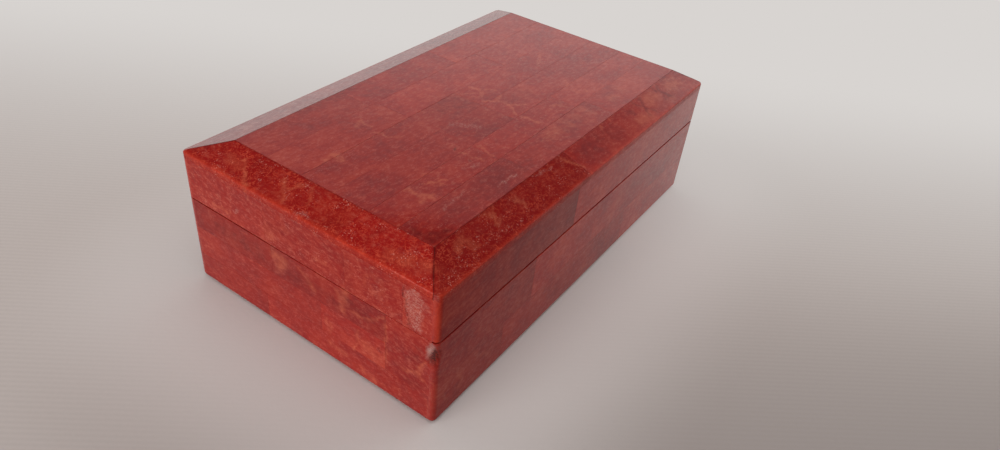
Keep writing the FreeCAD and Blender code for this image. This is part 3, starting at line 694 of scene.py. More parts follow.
# %% Marks as brush strokes: width and strength, then the chain of points in mm
MARKS = {
    "plan": {
        "pale": [
            (0.7, 0.8, (79.5, 44), (83, 40.2), (86.5, 44)), (0.6, 0.6, (83, 40.2), (81.5, 36.5)),
            (0.8, 0.8, (77.5, 46), (81, 48.8), (84, 47.4)), (1.0, 0.8, (81, 48.8), (81.5, 53.2)),
            (0.7, 0.8, (77, 58), (81.5, 53.2), (85, 56.5)), (0.6, 0.6, (76, 38.5), (79, 40)),
            (0.7, 0.7, (78, 60), (78.3, 66)), (0.6, 0.6, (90.5, 63), (93, 65.2), (95.3, 63)),
            (0.6, 0.6, (93, 65.2), (93, 68)), (0.6, 0.6, (104, 64), (106.5, 66.6), (109, 65)),
            (0.5, 0.5, (109, 57), (106, 60)), (0.6, 0.5, (112, 44), (121.5, 39)),
            (1.3, 0.8, (20.4, 34.8), (23.8, 35), (22.4, 38.6)),
            (0.6, 0.5, (40, 35), (40.5, 39), (42.5, 42)), (1.0, 0.9, (24, 60), (24.2, 65)),
            (1.3, 0.8, (22.6, 66.5), (24.2, 64.5), (26, 66.8)), (0.7, 1.0, (29, 61.6), (31, 63)),
            (0.7, 1.0, (32, 63.2), (34, 64.5)), (0.6, 0.9, (30.2, 64), (32.2, 65.2)),
            (0.6, 0.6, (48, 59), (49, 66)), (0.6, 0.6, (54.5, 60), (53, 67)),
            (0.7, 0.6, (38, 29), (42, 26.4), (41, 31)), (3.4, 0.5, (74, 72.5), (79, 72.5)),
            (2.4, 0.45, (84.5, 71), (84.5, 74)), (2.4, 0.45, (90, 71), (90, 74)),
            (2.4, 0.45, (95.5, 71), (95.5, 74)), (2.6, 0.5, (109, 74.5), (111, 75)),
            (2.4, 0.4, (117, 72), (117, 75)), (0.8, 0.8, (29, 80.8), (31, 84.2)),
            (0.8, 0.8, (33, 80.8), (29, 86)), (1.6, 0.6, (14.5, 84), (18, 82.4), (18.4, 86)),
            (0.8, 0.7, (39.5, 82), (41.5, 86)), (0.6, 0.6, (41.8, 82), (40.4, 84.4)),
            (0.7, 0.8, (66, 81.6), (69.5, 88)), (0.6, 0.7, (90.5, 80.6), (89, 83.5)),
            (0.5, 0.5, (96, 80.6), (96.5, 83)), (3.4, 0.8, (118, 84), (123.5, 83.6)),
            (3.6, 0.75, (133, 84.5), (139, 84.2)), (2.6, 0.6, (106, 87.6), (112, 87.8)),
            (2.0, 0.55, (127, 87.8), (130, 87.8)), (0.8, 0.7, (6.5, 18.5), (3, 22.5), (0.5, 25.5)),
            (2.4, 0.35, (5, 14), (4, 19)), (0.9, 0.7, (7, 33), (2, 38)), (0.8, 0.6, (8.5, 39), (3, 34.5)),
            (0.7, 0.6, (8.5, 41.5), (4.5, 44.5)), (2.6, 0.4, (3, 72), (5, 84)),
        ],
        "dark": [
            (8.0, 0.45, (66, 39), (71, 40)), (5.0, 0.4, (86, 51), (91, 52)),
            (2.2, 0.5, (131, 26), (131, 27)), (6.0, 0.4, (24, 74), (60, 75)),
            (1.7, 1.3, (11.8, 73), (12, 78.6), (17.5, 78.8)), (2.2, 1.3, (13.2, 76.8), (14.4, 77.6)),
            (4.0, 0.4, (20, 10.5), (60, 11)), (2.5, 0.4, (103, 12), (105, 12)),
            (0.8, 0.9, (111.5, 81), (116.5, 88.5)), (0.8, 0.9, (116.5, 81), (112, 88)),
            (0.8, 0.9, (126, 81), (130, 88)), (0.8, 0.8, (129.5, 81), (126, 87)),
            (1.3, 0.9, (106.6, 83.5), (107.4, 83.6)), (5.0, 0.5, (76, 84), (92, 85)),
            (3.0, 0.5, (3, 3), (7, 9)), (2.0, 0.5, (8, 21), (7, 27)), (2.4, 0.5, (2, 52), (4, 55)),
            (1.6, 0.4, (3, 65), (8, 66)),
        ],
        # Scuffs: partly real wear, partly painted glints where the lacquer would catch the light.
        "scuff_and_glint": [
            (2.6, 0.3, (59, 47), (63, 54)), (1.4, 0.3, (42, 65), (47, 66.5)),
            (0.8, 0.4, (42, 76.5), (50, 77)), (0.8, 0.35, (22, 72.5), (34, 71.5)),
            (0.8, 0.4, (52, 81), (60, 82)), (1.6, 0.17, (5.5, 74), (6.5, 78)),
            (1.2, 0.35, (1, 44), (1.5, 48)),
        ],
        # Pits: painted shade, dark spots with no dent in the mesh.
        "pit": [
            (0.7, 1.0, (48.2, 56.6), (48.9, 56.4)), (0.5, 0.6, (46.2, 63.8), (46.8, 64)),
        ],
    },
    "left": {
        "pale": [
            (2.4, 1.0, (35, 17.6), (38.4, 18.6), (36.2, 21.6)),
            (1.0, 0.9, (44, 17.1), (45.7, 18.1), (49.3, 22)),
            (1.7, 1.0, (61, 15.6), (60.4, 18.6), (59.3, 22.6)), (0.9, 0.8, (57.2, 16.8), (59.6, 19)),
            (0.7, 0.9, (62.9, 21.4), (68.6, 20.7), (73.6, 16.4)), (0.6, 0.8, (74.3, 18.6), (74.4, 31.4)),
            (0.7, 0.9, (64.6, 27.1), (64.6, 31.4), (63.2, 35)), (0.7, 0.7, (55, 30.7), (54.6, 34.3)),
            (0.6, 0.6, (53, 29.3), (54.2, 33.5)), (3.0, 0.55, (68, 31), (72, 33)),
            (0.8, 0.9, (86.8, 23.6), (85, 28.6), (80, 30.7)), (0.7, 0.7, (85, 28.6), (87.2, 30)),
            (1.0, 0.8, (54, 38.2), (60, 39)), (1.0, 0.7, (65.7, 40.4), (70.7, 41.4)),
            (1.6, 0.6, (33, 11.6), (34.5, 12)), (0.8, 0.7, (11, 12.6), (18, 12.2)),
            (1.2, 0.35, (67.5, 7), (70, 4.5), (73, 6), (73.2, 9.5), (70, 11), (67.5, 9.2), (67.5, 7)),
            (0.8, 0.6, (38, 7), (41, 6.6)), (0.9, 0.6, (50, 11), (54, 10.2)),
        ],
        "dark": [
            (3.4, 0.5, (12, 20), (28, 20.5)), (2.6, 0.5, (40, 21.5), (56, 21)),
            (2.6, 0.55, (62, 18.5), (71, 21.5)), (2.2, 0.5, (85, 20), (84, 25)),
            (2.4, 0.4, (80, 35), (86, 33)), (2.5, 0.35, (61, 5), (62, 12)),
            (1.6, 0.35, (33, 9), (38, 8.5)),
        ],
        # Scuffs: partly real wear, partly painted glints where the lacquer would catch the light.
        "scuff_and_glint": [
            (0.9, 0.5, (20.2, 10.8), (21.2, 9.8)), (3.2, 1.0, (83, 4.2), (83.2, 8)),
            (2.2, 1.0, (83.2, 8), (83.8, 13)), (1.6, 0.4, (86, 6), (87, 5)),
        ],
        # Pits: painted shade, dark spots with no dent in the mesh.
        "pit": [
            (0.5, 0.8, (72.2, 28.8), (72.5, 29)), (0.35, 0.7, (79.6, 3.2), (81.6, 14.2)),
        ],
    },
    "front": {
        "pale": [
            (0.8, 0.5, (9, 31.5), (11.5, 36), (10.5, 39.5)), (0.8, 0.45, (20, 34), (25, 37.5)),
            (2.0, 0.35, (76, 39.5), (82, 40.5)),
        ],
        "dark": [
            (3.0, 0.35, (95, 20), (120, 23)),
        ],
    },
}
print("brush strokes:", sum(len(strokes) for kinds in MARKS.values() for strokes in kinds.values()))

# %% The brush
STROKE_GAIN = {"plan": 0.95, "left": 0.9, "front": 0.8}


def brushed(spots, strokes):
    """Strength at each spot: the most that any stroke gives, which falls off softly to nothing a little more
    than its width away from the chain. Slow and quick waves shift the spots, so no stroke is straight."""
    x, y = np.moveaxis(spots, -1, 0)
    sway = np.stack([np.sin(1.3 * y + 2.0 * np.sin(0.8 * x)), np.sin(1.5 * x + 2.0 * np.sin(0.9 * y))], -1)
    shiver = np.stack([np.sin(4.1 * y + 1.7 * x), np.sin(3.7 * x - 1.9 * y)], -1)
    spots = spots + 0.35 * sway + 0.18 * shiver
    field = np.zeros(spots.shape[:-1])
    for width, strength, *chain in strokes:
        for start, end in zip(chain[:-1], chain[1:]):
            run = np.subtract(end, start)
            share = np.clip((spots - start) @ run / (run @ run), 0, 1)
            away = np.linalg.norm(spots - start - share[..., None] * run, axis=-1) / width
            field = np.maximum(field, strength * np.clip(1.25 - away, 0, 1) ** 1.5)
    return field


test_stroke = (1.0, 1.0, (0.0, 0.0), (4.0, 0.0))
test_spots = np.array([(2.0, 0.0), (2.0, 1.0), (2.0, 2.0)])
print("strength of a stroke, 0 to 2 mm aside:", brushed(test_spots, [test_stroke]).round(2))

# %% [markdown]
# ## Tiles on the four sides
# The front and back tiles run through to the corners and cover the ends of the others, and the whole box
# was then sanded, which rounded its upright corners and its foot. So every tile is made square first, with
# its own fine edge, and the rounding of the whole box is laid over all of them together. A small chip at
# the corner nearest to the viewer is pressed into the finished surface. The line between lid and base isn't
# even, so the lid's tiles end a little higher or lower along the front and the left side.

# %% What all tiles share
FINE_EDGE = 0.03
SEAM_EDGE = 0.12
CORNER_ROUND = 1.5
FINE_STEP, PLAIN_STEP, DEEP_STEP = 0.5, 1.6, 2.0
TILE_THICKNESS = 1.8
BEVEL_RISE, BEVEL_RUN, RIGHT_RUN = 3.1, 10.2, 5.0
bevel_angle = math.atan2(BEVEL_RISE, BEVEL_RUN)
fine_stations = np.array((0.35, 1.0, 2.2)) * FINE_EDGE
seam_stations = np.concatenate([fine_stations, np.array((0.5, 1.0, 2.0)) * SEAM_EDGE])
arc_stations = np.array((0.12, 0.27, 0.43, 0.6, 0.8, 1.0, 1.3)) * CORNER_ROUND
round_stations = np.concatenate([fine_stations, arc_stations])
outer_low = np.array((box_of("base_left_tiles")[0][0], *box_of("base_front_tiles")[0][1:]))
outer_high = np.array((-outer_low[0], -outer_low[1], box_of("lid_top_tiles")[1][2]))
arris_level = outer_high[2] - BEVEL_RISE
band_foot = arris_level - TILE_THICKNESS / math.cos(bevel_angle)
print("levels in mm, band foot and arris:", round(band_foot, 2), round(arris_level, 2))

# %% Marks, chip and gloss on a tile
CHIP_PLACE, CHIP_REACH = (-75.0, -43.9, 25.2), (2.4, 2.3, 4.2)
CHIP_DEPTH, CHIP_HEADING = 0.7, np.array((0.8, 0.6, 0.0))
DULL_END = {"base": 0.24, "lid": 0.12}


def spots_of(points, view):
    """Where points lie on a face as it is seen: mm from its left end, and mm down from its upper edge."""
    x, y, z = np.moveaxis(points, -1, 0)
    return {
        "plan": np.stack([x - outer_low[0], outer_high[1] - y], -1),
        "left": np.stack([outer_high[1] - y, arris_level - z], -1),
        "front": np.stack([x - outer_low[0], arris_level - z], -1),
    }[view]


def marks_on(points, view):
    """Strength of each kind of mark at each point of a face."""
    marks = {kind: np.zeros(points.shape[:-1]) for kind in ("pale", "dark", "scuff_and_glint", "pit")}
    for kind, strokes in MARKS.get(view, {}).items():
        marks[kind] = STROKE_GAIN[view] * brushed(spots_of(points, view), strokes)
    return marks


def chip_at(points):
    """How much of the chip lies at each point, a ragged ball round its place, and how much painted shade its
    deep part takes there.
    """
    out = (points - CHIP_PLACE) / CHIP_REACH
    ragged = 0.25 * np.sin(points @ (3.1, 2.3, 4.7)) * np.sin(points @ (-2.2, 3.9, 2.9))
    chip = np.clip(1.6 * (1.0 - np.linalg.norm(out, axis=-1)) + ragged, 0, 1)
    hollow_shade = np.clip(0.7 - 0.9 * out[..., 1] - 0.7 * out[..., 2], 0, 1)
    return chip, hollow_shade


def front_gloss(points, dull):
    """How strong the lacquer's gloss is along the front: it rises from its dull near end to the far end."""
    along = np.clip((points[..., 0] - outer_low[0]) / (outer_high[0] - outer_low[0]), 0, 1)
    return dull + (1.0 - dull) * along ** 0.75


print("the chip reaches in by", CHIP_DEPTH, "mm")

# %% A dressed tile
CORNER_TONE, CORNER_REACH, ARRIS_FADE = 0.8, 0.8, 0.2


def turned(angle, first, second):
    """The matrix of a turn by angle that takes one axis towards another."""
    matrix = np.eye(3)
    matrix[first, first] = matrix[second, second] = math.cos(angle)
    matrix[first, second] = -math.sin(angle)
    matrix[second, first] = math.sin(angle)
    return matrix


def dressed_tile(points, local, look, view, quads, edge, shade=0.0, gloss=1.0):
    """A block of stone: its coordinates in the stone are its own place, turned and sent to a random part of
    the block, and its look becomes numbers at every point. At the near corner, the end of a front tile takes
    over the tone and the gloss of the left side bit by bit."""
    spin = dice.integers(4) // 2 * math.pi + dice.normal(0.0, 0.12)
    lean = dice.normal(0.0, 0.25)
    stone = local @ (turned(lean, 1, 2) @ turned(spin, 0, 1)).T + dice.uniform(-400.0, 400.0, 3)
    paint = {key: np.full(local.shape[:-1], value) for key, value in look.items()}
    paint.update(marks_on(points, view))
    paint["dark"] = np.maximum(paint["dark"], shade)
    paint["gloss"] = np.broadcast_to(gloss, local.shape[:-1])
    if view in ("front", "plan"):
        below_arris = np.clip((arris_level - points[..., 2]) / ARRIS_FADE, 0, 1)
        at_corner = below_arris * np.clip(1.0 - (points[..., 0] - outer_low[0]) / CORNER_REACH, 0, 1)
        from_corner = np.clip((points[..., 1] - outer_low[1]) / TILE_THICKNESS, 0, 1)
        corner_tone = CORNER_TONE + (1.0 - CORNER_TONE) * from_corner
        paint["tone"] = paint["tone"] + at_corner * (corner_tone - paint["tone"])
        if view == "front":
            paint["gloss"] = paint["gloss"] + at_corner * from_corner * (1.0 - paint["gloss"])
    # The dark of the chip and the pits is painted shade; only the chip is pressed into the mesh.
    chip, hollow_shade = chip_at(points)
    pit = paint.pop("pit")
    paint["chip"] = np.maximum(chip, pit)
    paint["hollow_shade"] = np.maximum(hollow_shade, pit > 0)
    points = points + chip[..., None] * (CHIP_HEADING * CHIP_DEPTH)
    return {"points": points, "quads": quads, "paint": {"stone": stone, "edge": edge, **paint}}


print("tone at the near corner:", CORNER_TONE)

# %% Room for the hinges
NOTCH_CLEARANCE = 0.25
hinge_rooms = []
for hand in ("left", "right"):
    pin_low, pin_high = box_of(hand + "_hinge_pin")
    leaf_foot = box_of(hand + "_hinge_base_leaf")[0][2]
    leaf_head = box_of(hand + "_hinge_lid_leaf")[1][2]
    hinge_rooms.append((pin_low[0] - NOTCH_CLEARANCE, pin_high[0] + NOTCH_CLEARANCE,
                        leaf_foot - NOTCH_CLEARANCE, leaf_head + NOTCH_CLEARANCE))
print("hinge notches in mm:", np.round(hinge_rooms, 2).tolist())


def hinge_notches(u, v, low, size):
    """Stations of a back tile with the borders of its notches added, and which of its columns stay solid."""
    cuts = []
    for x_low, x_high, z_low, z_high in hinge_rooms:
        cut_u = np.clip((-x_high - low[0], -x_low - low[0]), 0, size[0])
        cut_v = np.clip((z_low - low[1], z_high - low[1]), 0, size[1])
        if cut_u[0] < cut_u[1] and cut_v[0] < cut_v[1]:
            u = np.unique(np.concatenate([u, cut_u]).round(4))
            v = np.unique(np.concatenate([v, cut_v]).round(4))
            cuts.append((cut_u, cut_v))
    solid = np.ones((len(u) - 1, len(v) - 1), bool)
    middle_u, middle_v = (u[1:] + u[:-1])[:, None] / 2, (v[1:] + v[:-1])[None] / 2
    for cut_u, cut_v in cuts:
        within_u = (middle_u > cut_u[0]) & (middle_u < cut_u[1])
        within_v = (middle_v > cut_v[0]) & (middle_v < cut_v[1])
        solid &= ~(within_u & within_v)
    return u, v, solid


# %% Tile maker for the sides
EDGE_REACH, EDGE_WEAR_AND_HIGHLIGHT = (1.1, 2.2), {"base": 0.2, "lid": 1.0}
JOINT_SHUT = (0.057, 0.057, 0.05, 0.035)
NEARLY, CORNER_ROOM = 0.05, 0.5


def side_tile(side, low, high, look, part, at_foot, at_seam):
    """One tile on an upright face, as points u along, v up and w inwards, carried to the face's own axes."""
    along, up, out = np.array(SIDES[side], float)
    size = high - low
    through = side in ("front", "back")
    step = FINE_STEP if side in SHOWN_WALLS else PLAIN_STEP
    at_start = through and low[0] < CORNER_ROOM - outer_high[0]
    at_end = through and high[0] > outer_high[0] - CORNER_ROOM
    u = stations(size[0], step, round_stations if at_start else fine_stations,
                 round_stations if at_end else fine_stations)
    v = stations(size[1], step, round_stations if at_foot else seam_stations, seam_stations)
    w = stations(size[2], DEEP_STEP, round_stations)
    solid = None
    if side == "back":
        u, v, solid = hinge_notches(u, v, low, size)
    local = lattice_of(u, v, w)
    shaped = round_off(local, (0, 0, 0), (size[0], size[1], np.inf), FINE_EDGE)
    if at_seam:
        shaped = round_off(shaped, (-np.inf, -np.inf, 0), (np.inf, size[1], np.inf), SEAM_EDGE)
    if part == "lid":
        shaped = round_off(shaped, (-np.inf, 0, 0), (np.inf, np.inf, np.inf), SEAM_EDGE)
    u_all, v_all, w_all = np.moveaxis(shaped, -1, 0)
    if part == "lid":
        v_all = v_all + np.clip(1.0 - (size[1] - v_all), 0, 1) * w_all * math.tan(bevel_angle)
    points = (u_all + low[0])[..., None] * along + (v_all + low[1])[..., None] * up
    points = points + (high[2] - w_all)[..., None] * out
    # Bright edges near the upright corners: partly wear, partly painted highlight of the rounded corner.
    inset = outer_high[:2] - np.abs(points[..., :2])
    edge = EDGE_WEAR_AND_HIGHLIGHT[part] * np.clip(1.2 - (inset / EDGE_REACH).max(-1), 0, 1)
    foot = outer_low[2] if part == "base" else -np.inf
    points = round_off(points, (*outer_low[:2], foot), (*outer_high[:2], np.inf), CORNER_ROUND)
    gloss = front_gloss(points, DULL_END[part]) if side == "front" else 1.0
    return dressed_tile(points, local, look, side, skin(local.shape[:3], solid), edge, gloss=gloss)


def close_joints(low, high, lowest, highest, ends):
    """A tile's box with its joints drawn nearly shut, as the grinding and the lacquer leave them. ends says
    by how much the four outside edges of the whole face move out: left, foot, right and head."""
    shut = dice.choice(JOINT_SHUT, size=(2, 2))
    low, high = low.copy(), high.copy()
    low[:2] -= np.where(low[:2] > lowest[:2] + NEARLY, shut[0], ends[:2])
    high[:2] += np.where(high[:2] < highest[:2] - NEARLY, shut[1], ends[2:])
    return low, high


print("most that a joint is drawn shut, in mm:", max(JOINT_SHUT))

# %% Tiles of the base and of the lid's rim
END_SHUT, BAND_GAP = 0.15, 0.01
SEAM_SHIFT = {"left": (0.1, -0.14), "front": (0.28, 0.28)}
for part in ("base", "lid"):
    for side in WALLS:
        node = f"{part}_{side}_tiles"
        tile_low, tile_high = boxes_on(side, node)
        if part == "lid":
            tile_high[:, 1] = band_foot - BAND_GAP
            tile_low[:, 1] += np.linspace(*SEAM_SHIFT.get(side, (0.0, 0.0)), len(tile_low))
        lowest, highest = tile_low.min(0), tile_high.max(0)
        end_shut = END_SHUT if side in ("left", "right") else 0.0
        blocks = []
        for index, (low, high) in enumerate(zip(tile_low, tile_high)):
            at_foot = part == "base" and low[1] < lowest[1] + NEARLY
            at_seam = part == "base" and high[1] > highest[1] - NEARLY
            low, high = close_joints(low, high, lowest, highest, (end_shut, 0.0, end_shut, 0.0))
            blocks.append(side_tile(side, low, high, look_of(node, index), part, at_foot, at_seam))
        finish = worn_coral if side == "left" else satin_coral
        add_piece(f"{part}_{side}_stone", blocks, finish, part, [node])

# %% [markdown]
# ## Tiles on the lid's flat top
# The top was ground dead flat, so its tiles share one level and only their hairline joints show. Where they
# meet the bevel their edges lean in, because the bevel strips were sawn square to their own slope.

# %% Top tiles
BORDER_GAP = 0.02
OPEN_JOINTS = {0: 0.07, 1: 0.06, 3: 0.05, 8: 0.06}
edge_lean = math.tan(bevel_angle / 2)


def top_tile(low, high, look, border_low, border_high):
    """One tile of the flat top: a square block whose outer border leans in by edge_lean per mm of depth."""
    size = high - low
    u, v = (stations(size[axis], FINE_STEP, fine_stations, fine_stations) for axis in (0, 1))
    local = lattice_of(u, v, stations(size[2], DEEP_STEP, fine_stations))
    shaped = round_off(local, (0, 0, 0), (size[0], size[1], np.inf), FINE_EDGE)
    points = shaped + low
    points[..., 2] = high[2] - shaped[..., 2]
    by_high = np.clip(1.0 - (border_high - points)[..., :2], 0, 1)
    by_low = np.clip(1.0 - (points - border_low)[..., :2], 0, 1)
    points[..., :2] -= (by_high - by_low) * shaped[..., 2:] * edge_lean
    return dressed_tile(points, local, look, "plan", skin(local.shape[:3]), np.zeros(local.shape[:-1]))


top_low, top_high = boxes_on("top", "lid_top_tiles")
border_low, border_high = top_low.min(0), top_high.max(0)
border_moves = np.array((0.0, 0.0, BEVEL_RUN - RIGHT_RUN, 0.0)) - BORDER_GAP
moved_border = border_high + (BEVEL_RUN - RIGHT_RUN, 0.0, 0.0)
blocks = []
for index, (low, high) in enumerate(zip(top_low, top_high)):
    low, high = close_joints(low, high, border_low, border_high, border_moves)
    high[1] -= OPEN_JOINTS.get(index, 0.0)
    blocks.append(top_tile(low, high, look_of("lid_top_tiles", index), border_low, moved_border))
add_piece("lid_top_stone", blocks, polished_coral, "lid", ["lid_top_tiles"])

# %% [markdown]
# ## The bevel
# Four sloping strips frame the top and meet in mitred corners. A bevelled box could be cut from one block,
# but the photograph shows the mitre lines and a paler edge under the arris where a strip's own thickness
# comes to the surface. So each strip is its section carried along the side, with mitred ends. The strip at
# the right end is narrower than the others, so the two mitres there are steeper.

# %% Wear, painted highlight and dark joints of the bevel strips
ARRIS_TANGENT = 0.4
MITRE_GAP, MITRE_SLIP = 0.035, 2.2
ARRIS_WEAR_AND_HIGHLIGHT, ARRIS_REACH = 0.7, 1.3
BAND_BRIGHT, BAND_REACH = 0.6, 0.5
MITRE_DARK, MITRE_REACH = 1.7, 0.8
JOINT_DARK, JOINT_REACH, JOINT_FADE = 0.6, 1.2, 30.0
FRONT_BAND_GLOSS, LEFT_BAND_GLOSS = 0.5, 0.35


def strip_wear_and_highlight(side, points, local, slope, band, run, to_end):
    """Bright edge, dark joints and gloss of a strip, by the place of its points across and deep in its
    section. The bright edge along the arris is partly wear and partly painted highlight. The joint with the
    top fades out along the front."""
    across, deep = local[..., 1], local[..., 2]
    # Painted highlight along the arris, on top of its wear.
    arris_wear_and_highlight = ARRIS_WEAR_AND_HIGHLIGHT * np.clip(1.0 - (across + deep) / ARRIS_REACH, 0, 1)
    on_band = np.clip(1.0 - across / BAND_REACH, 0, 1)
    edge = np.maximum(arris_wear_and_highlight, BAND_BRIGHT * on_band * np.clip(1.25 - deep / band, 0, 1))
    at_mitre = MITRE_DARK * np.clip(1.0 - to_end / MITRE_REACH, 0, 1) * np.clip(across - MITRE_SLIP, 0, 1)
    at_top = np.clip(1.0 - (slope - across) / JOINT_REACH, 0, 1)
    fading = np.clip(-0.1 - run / JOINT_FADE, 0, 1) if side == "front" else 1.0
    shade = np.maximum(at_mitre, JOINT_DARK * fading * at_top)
    band_gloss = LEFT_BAND_GLOSS if side == "left" else 1.0
    if side == "front":
        band_gloss = FRONT_BAND_GLOSS * front_gloss(points, DULL_END["base"])
    return edge, shade, 1.0 - on_band * (1.0 - band_gloss)


print("mitre line slips by", MITRE_SLIP, "mm at the near corner")

# %% Mitres of the bevel strips
RUNS = {"front": BEVEL_RUN, "right": RIGHT_RUN, "back": BEVEL_RUN, "left": BEVEL_RUN}


def runs_at(side):
    """Width of the strip before a side's own, of its own and of the one after it, going round the lid."""
    runs, turn = list(RUNS.values()), list(RUNS).index(side)
    return [runs[(turn + shift) % len(runs)] for shift in (-1, 0, 1)]


def mitre_cuts(side, inset, gap):
    """How far both ends of a strip step in at each point: by as much as the point lies inside the edge, times
    the ratio of the two runs that meet there. At the near corner the joint missed the corner, so it slips to
    the left edge and the front strip bends over it."""
    run_before, own_run, run_after = runs_at(side)
    squeeze = 1.0 - MITRE_SLIP / BEVEL_RUN
    cut_start, cut_end = inset * run_before / own_run, inset * run_after / own_run
    if side == "front":
        cut_start = np.maximum((inset - MITRE_SLIP) / squeeze, -gap)
    if side == "left":
        cut_end = MITRE_SLIP + inset * squeeze
    return cut_start, cut_end


print("widths of the bevel in mm:", RUNS)

# %% Bevel strips
STRIP_SHUT, BACK_TONE, FAR_AWAY = 0.05, 0.65, 9.9


def bevel_strip(side, start, end, look, first, last):
    """A length of strip. Its section is a slab across (a, from the arris up the slope) and deep (b), blended
    between four corners and carried along the side. An end at a corner of the lid is mitred."""
    along, up, out = np.array(SIDES[side], float)
    run_limit, wide_limit = outer_high[:2] if side in ("front", "back") else outer_high[1::-1]
    band = arris_level - band_foot
    run_before, own_run, run_after = runs_at(side)
    bevel_slope = math.hypot(BEVEL_RISE, own_run)
    lean = math.tan(math.atan2(BEVEL_RISE, own_run) / 2)

    step = FINE_STEP if side in SHOWN_WALLS else PLAIN_STEP
    soft_stations = np.concatenate([fine_stations, np.array((0.15, 0.35, 0.6, 1.0, 1.5)) * ARRIS_TANGENT])
    a = stations(bevel_slope, step, soft_stations, fine_stations)
    b = stations(band, DEEP_STEP, soft_stations, fine_stations)
    local = lattice_of(stations(end - start, step, round_stations, round_stations), a, b)
    shaped = round_off(local, (-np.inf, 0, 0), (np.inf, np.inf, np.inf), ARRIS_TANGENT)
    shaped = round_off(shaped, (0, -np.inf, 0), (end - start, bevel_slope, band), FINE_EDGE)
    share, across, deep = np.moveaxis(shaped / (end - start, bevel_slope, band), -1, 0)
    inset = across * (own_run + deep * TILE_THICKNESS * lean)
    gap = MITRE_GAP * np.clip(local[..., 1] / MITRE_SLIP, 0, 1)
    cut_start, cut_end = mitre_cuts(side, inset, gap)
    run_start = cut_start + gap - run_limit if first else start
    run_end = run_limit - cut_end - gap if last else end
    run = run_start + share * (run_end - run_start)
    across = np.minimum(across, (run_limit + run) / run_before) if first else across
    across = np.minimum(across, (run_limit - run) / run_after) if last else across
    level = arris_level + across * BEVEL_RISE - deep * (band + across * (TILE_THICKNESS - band))
    points = run[..., None] * along + level[..., None] * up + (wide_limit - inset)[..., None] * out
    envelope_high = np.array((outer_high[0], outer_high[1], np.inf))
    points = round_off(points, -envelope_high, envelope_high, CORNER_ROUND)

    to_end = np.minimum(run - run_start if first else FAR_AWAY, run_end - run if last else FAR_AWAY)
    edge, shade, gloss = strip_wear_and_highlight(side, points, local, bevel_slope, band, run, to_end)
    along_strip = np.stack([run, local[..., 1], local[..., 2]], -1)
    return dressed_tile(points, along_strip, look, "plan", skin(local.shape[:3]), edge, shade, gloss)


for side in WALLS:
    node = f"lid_{side}_bevel_tiles"
    strip_low, strip_high = boxes_on(side, node)
    order = np.argsort(strip_low[:, 0])
    blocks = []
    for place, index in enumerate(order):
        look = look_of(node, place)
        look["tone"] *= BACK_TONE if side == "back" else 1.0
        start, end = strip_low[index][0] - STRIP_SHUT, strip_high[index][0] + STRIP_SHUT
        blocks.append(bevel_strip(side, start, end, look, place == 0, place == len(order) - 1))
    add_piece(f"lid_{side}_bevel_stone", blocks, polished_coral, "lid", [node])

# %% [markdown]
# ## The wooden carcass
# Under the stone is a box of stained hardwood, which shows round the open rim. Its CAD boards have the right
# shape already, so they stay, with a fine bevel and a wood finish. A wood grain is noise that is stretched
# along the board, so boards that run along X and boards that run along Y need one finish each.

# %% Stained wood on the boards
WOOD_DARK = linear(66, 28, 16)
WOOD_RED = linear(122, 62, 36)
PORE_DARK = linear(40, 17, 11)
BOARD_EDGE = 0.2


def stained_wood(name, stretch):
    """Reddish brown wood: broad figure, fine fibres and dark pores, all of them noise stretched along it."""
    wood = Finish(bpy.data.materials.new(name))
    along = wood.vector("MULTIPLY", wood.place(), stretch)
    figure = wood.noise(along, 1.0, 4.0, 0.6)
    fibre = wood.noise(along, 7.0, 3.0, 0.6)
    pore = wood.step(wood.noise(along, 16.0, 2.0, 0.5), 0.34, 0.46, 1.0, 0.0)
    body = wood.mix(wood.step(figure, 0.34, 0.66), WOOD_DARK, WOOD_RED)
    body = wood.mix(wood.step(fibre, 0.4, 0.7, 0.0, 0.35), body, WOOD_RED)
    body = wood.mix(wood.times(pore, 0.7), body, PORE_DARK)
    height = wood.math("SUBTRACT", wood.times(fibre, 0.5), pore)
    return wood.principled({
        "Base Color": body,
        "Roughness": wood.step(fibre, 0.3, 0.7, 0.38, 0.55),
        "Specular IOR Level": 0.4,
        "Normal": wood.bump(height, 0.00004, 0.5),
    })


def refine(node, material, edge):
    """Gives a CAD node its finish, and a fine bevel of that many mm after its triangles are joined."""
    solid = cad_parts[node]
    solid.material_slots[0].material = material
    solid.modifiers.new("join", "WELD").merge_threshold = 1e-6
    bevel = solid.modifiers.new("fine edge", "BEVEL")
    bevel.width = edge * MM
    bevel.segments = 2
    bevel.limit_method = "ANGLE"
    bevel.angle_limit = math.radians(35)


wood_along_x = stained_wood("carcass_wood_along_x", (45.0, 420.0, 420.0))
wood_along_y = stained_wood("carcass_wood_along_y", (420.0, 45.0, 420.0))
boards = [node for node in sorted(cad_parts) if node.endswith(("_wall", "_rail", "_board"))]
for node in boards:
    refine(node, wood_along_y if "_left_" in node or "_right_" in node else wood_along_x, BOARD_EDGE)
print("boards:", boards)

# %% [markdown]
# ## Brass hinges
# Two brass butt hinges with a stop are let into the back edge. Their leaves and pins are CAD nodes with
# working knuckles, so they stay as they are too. Solid brass that is handled now and then keeps fine brush
# lines along its length and darkens in soft patches.

# %% Brushed brass on leaves and pins
BRASS = linear(222, 180, 104)
BRASS_DULL = linear(168, 120, 64)
HINGE_EDGE = 0.12


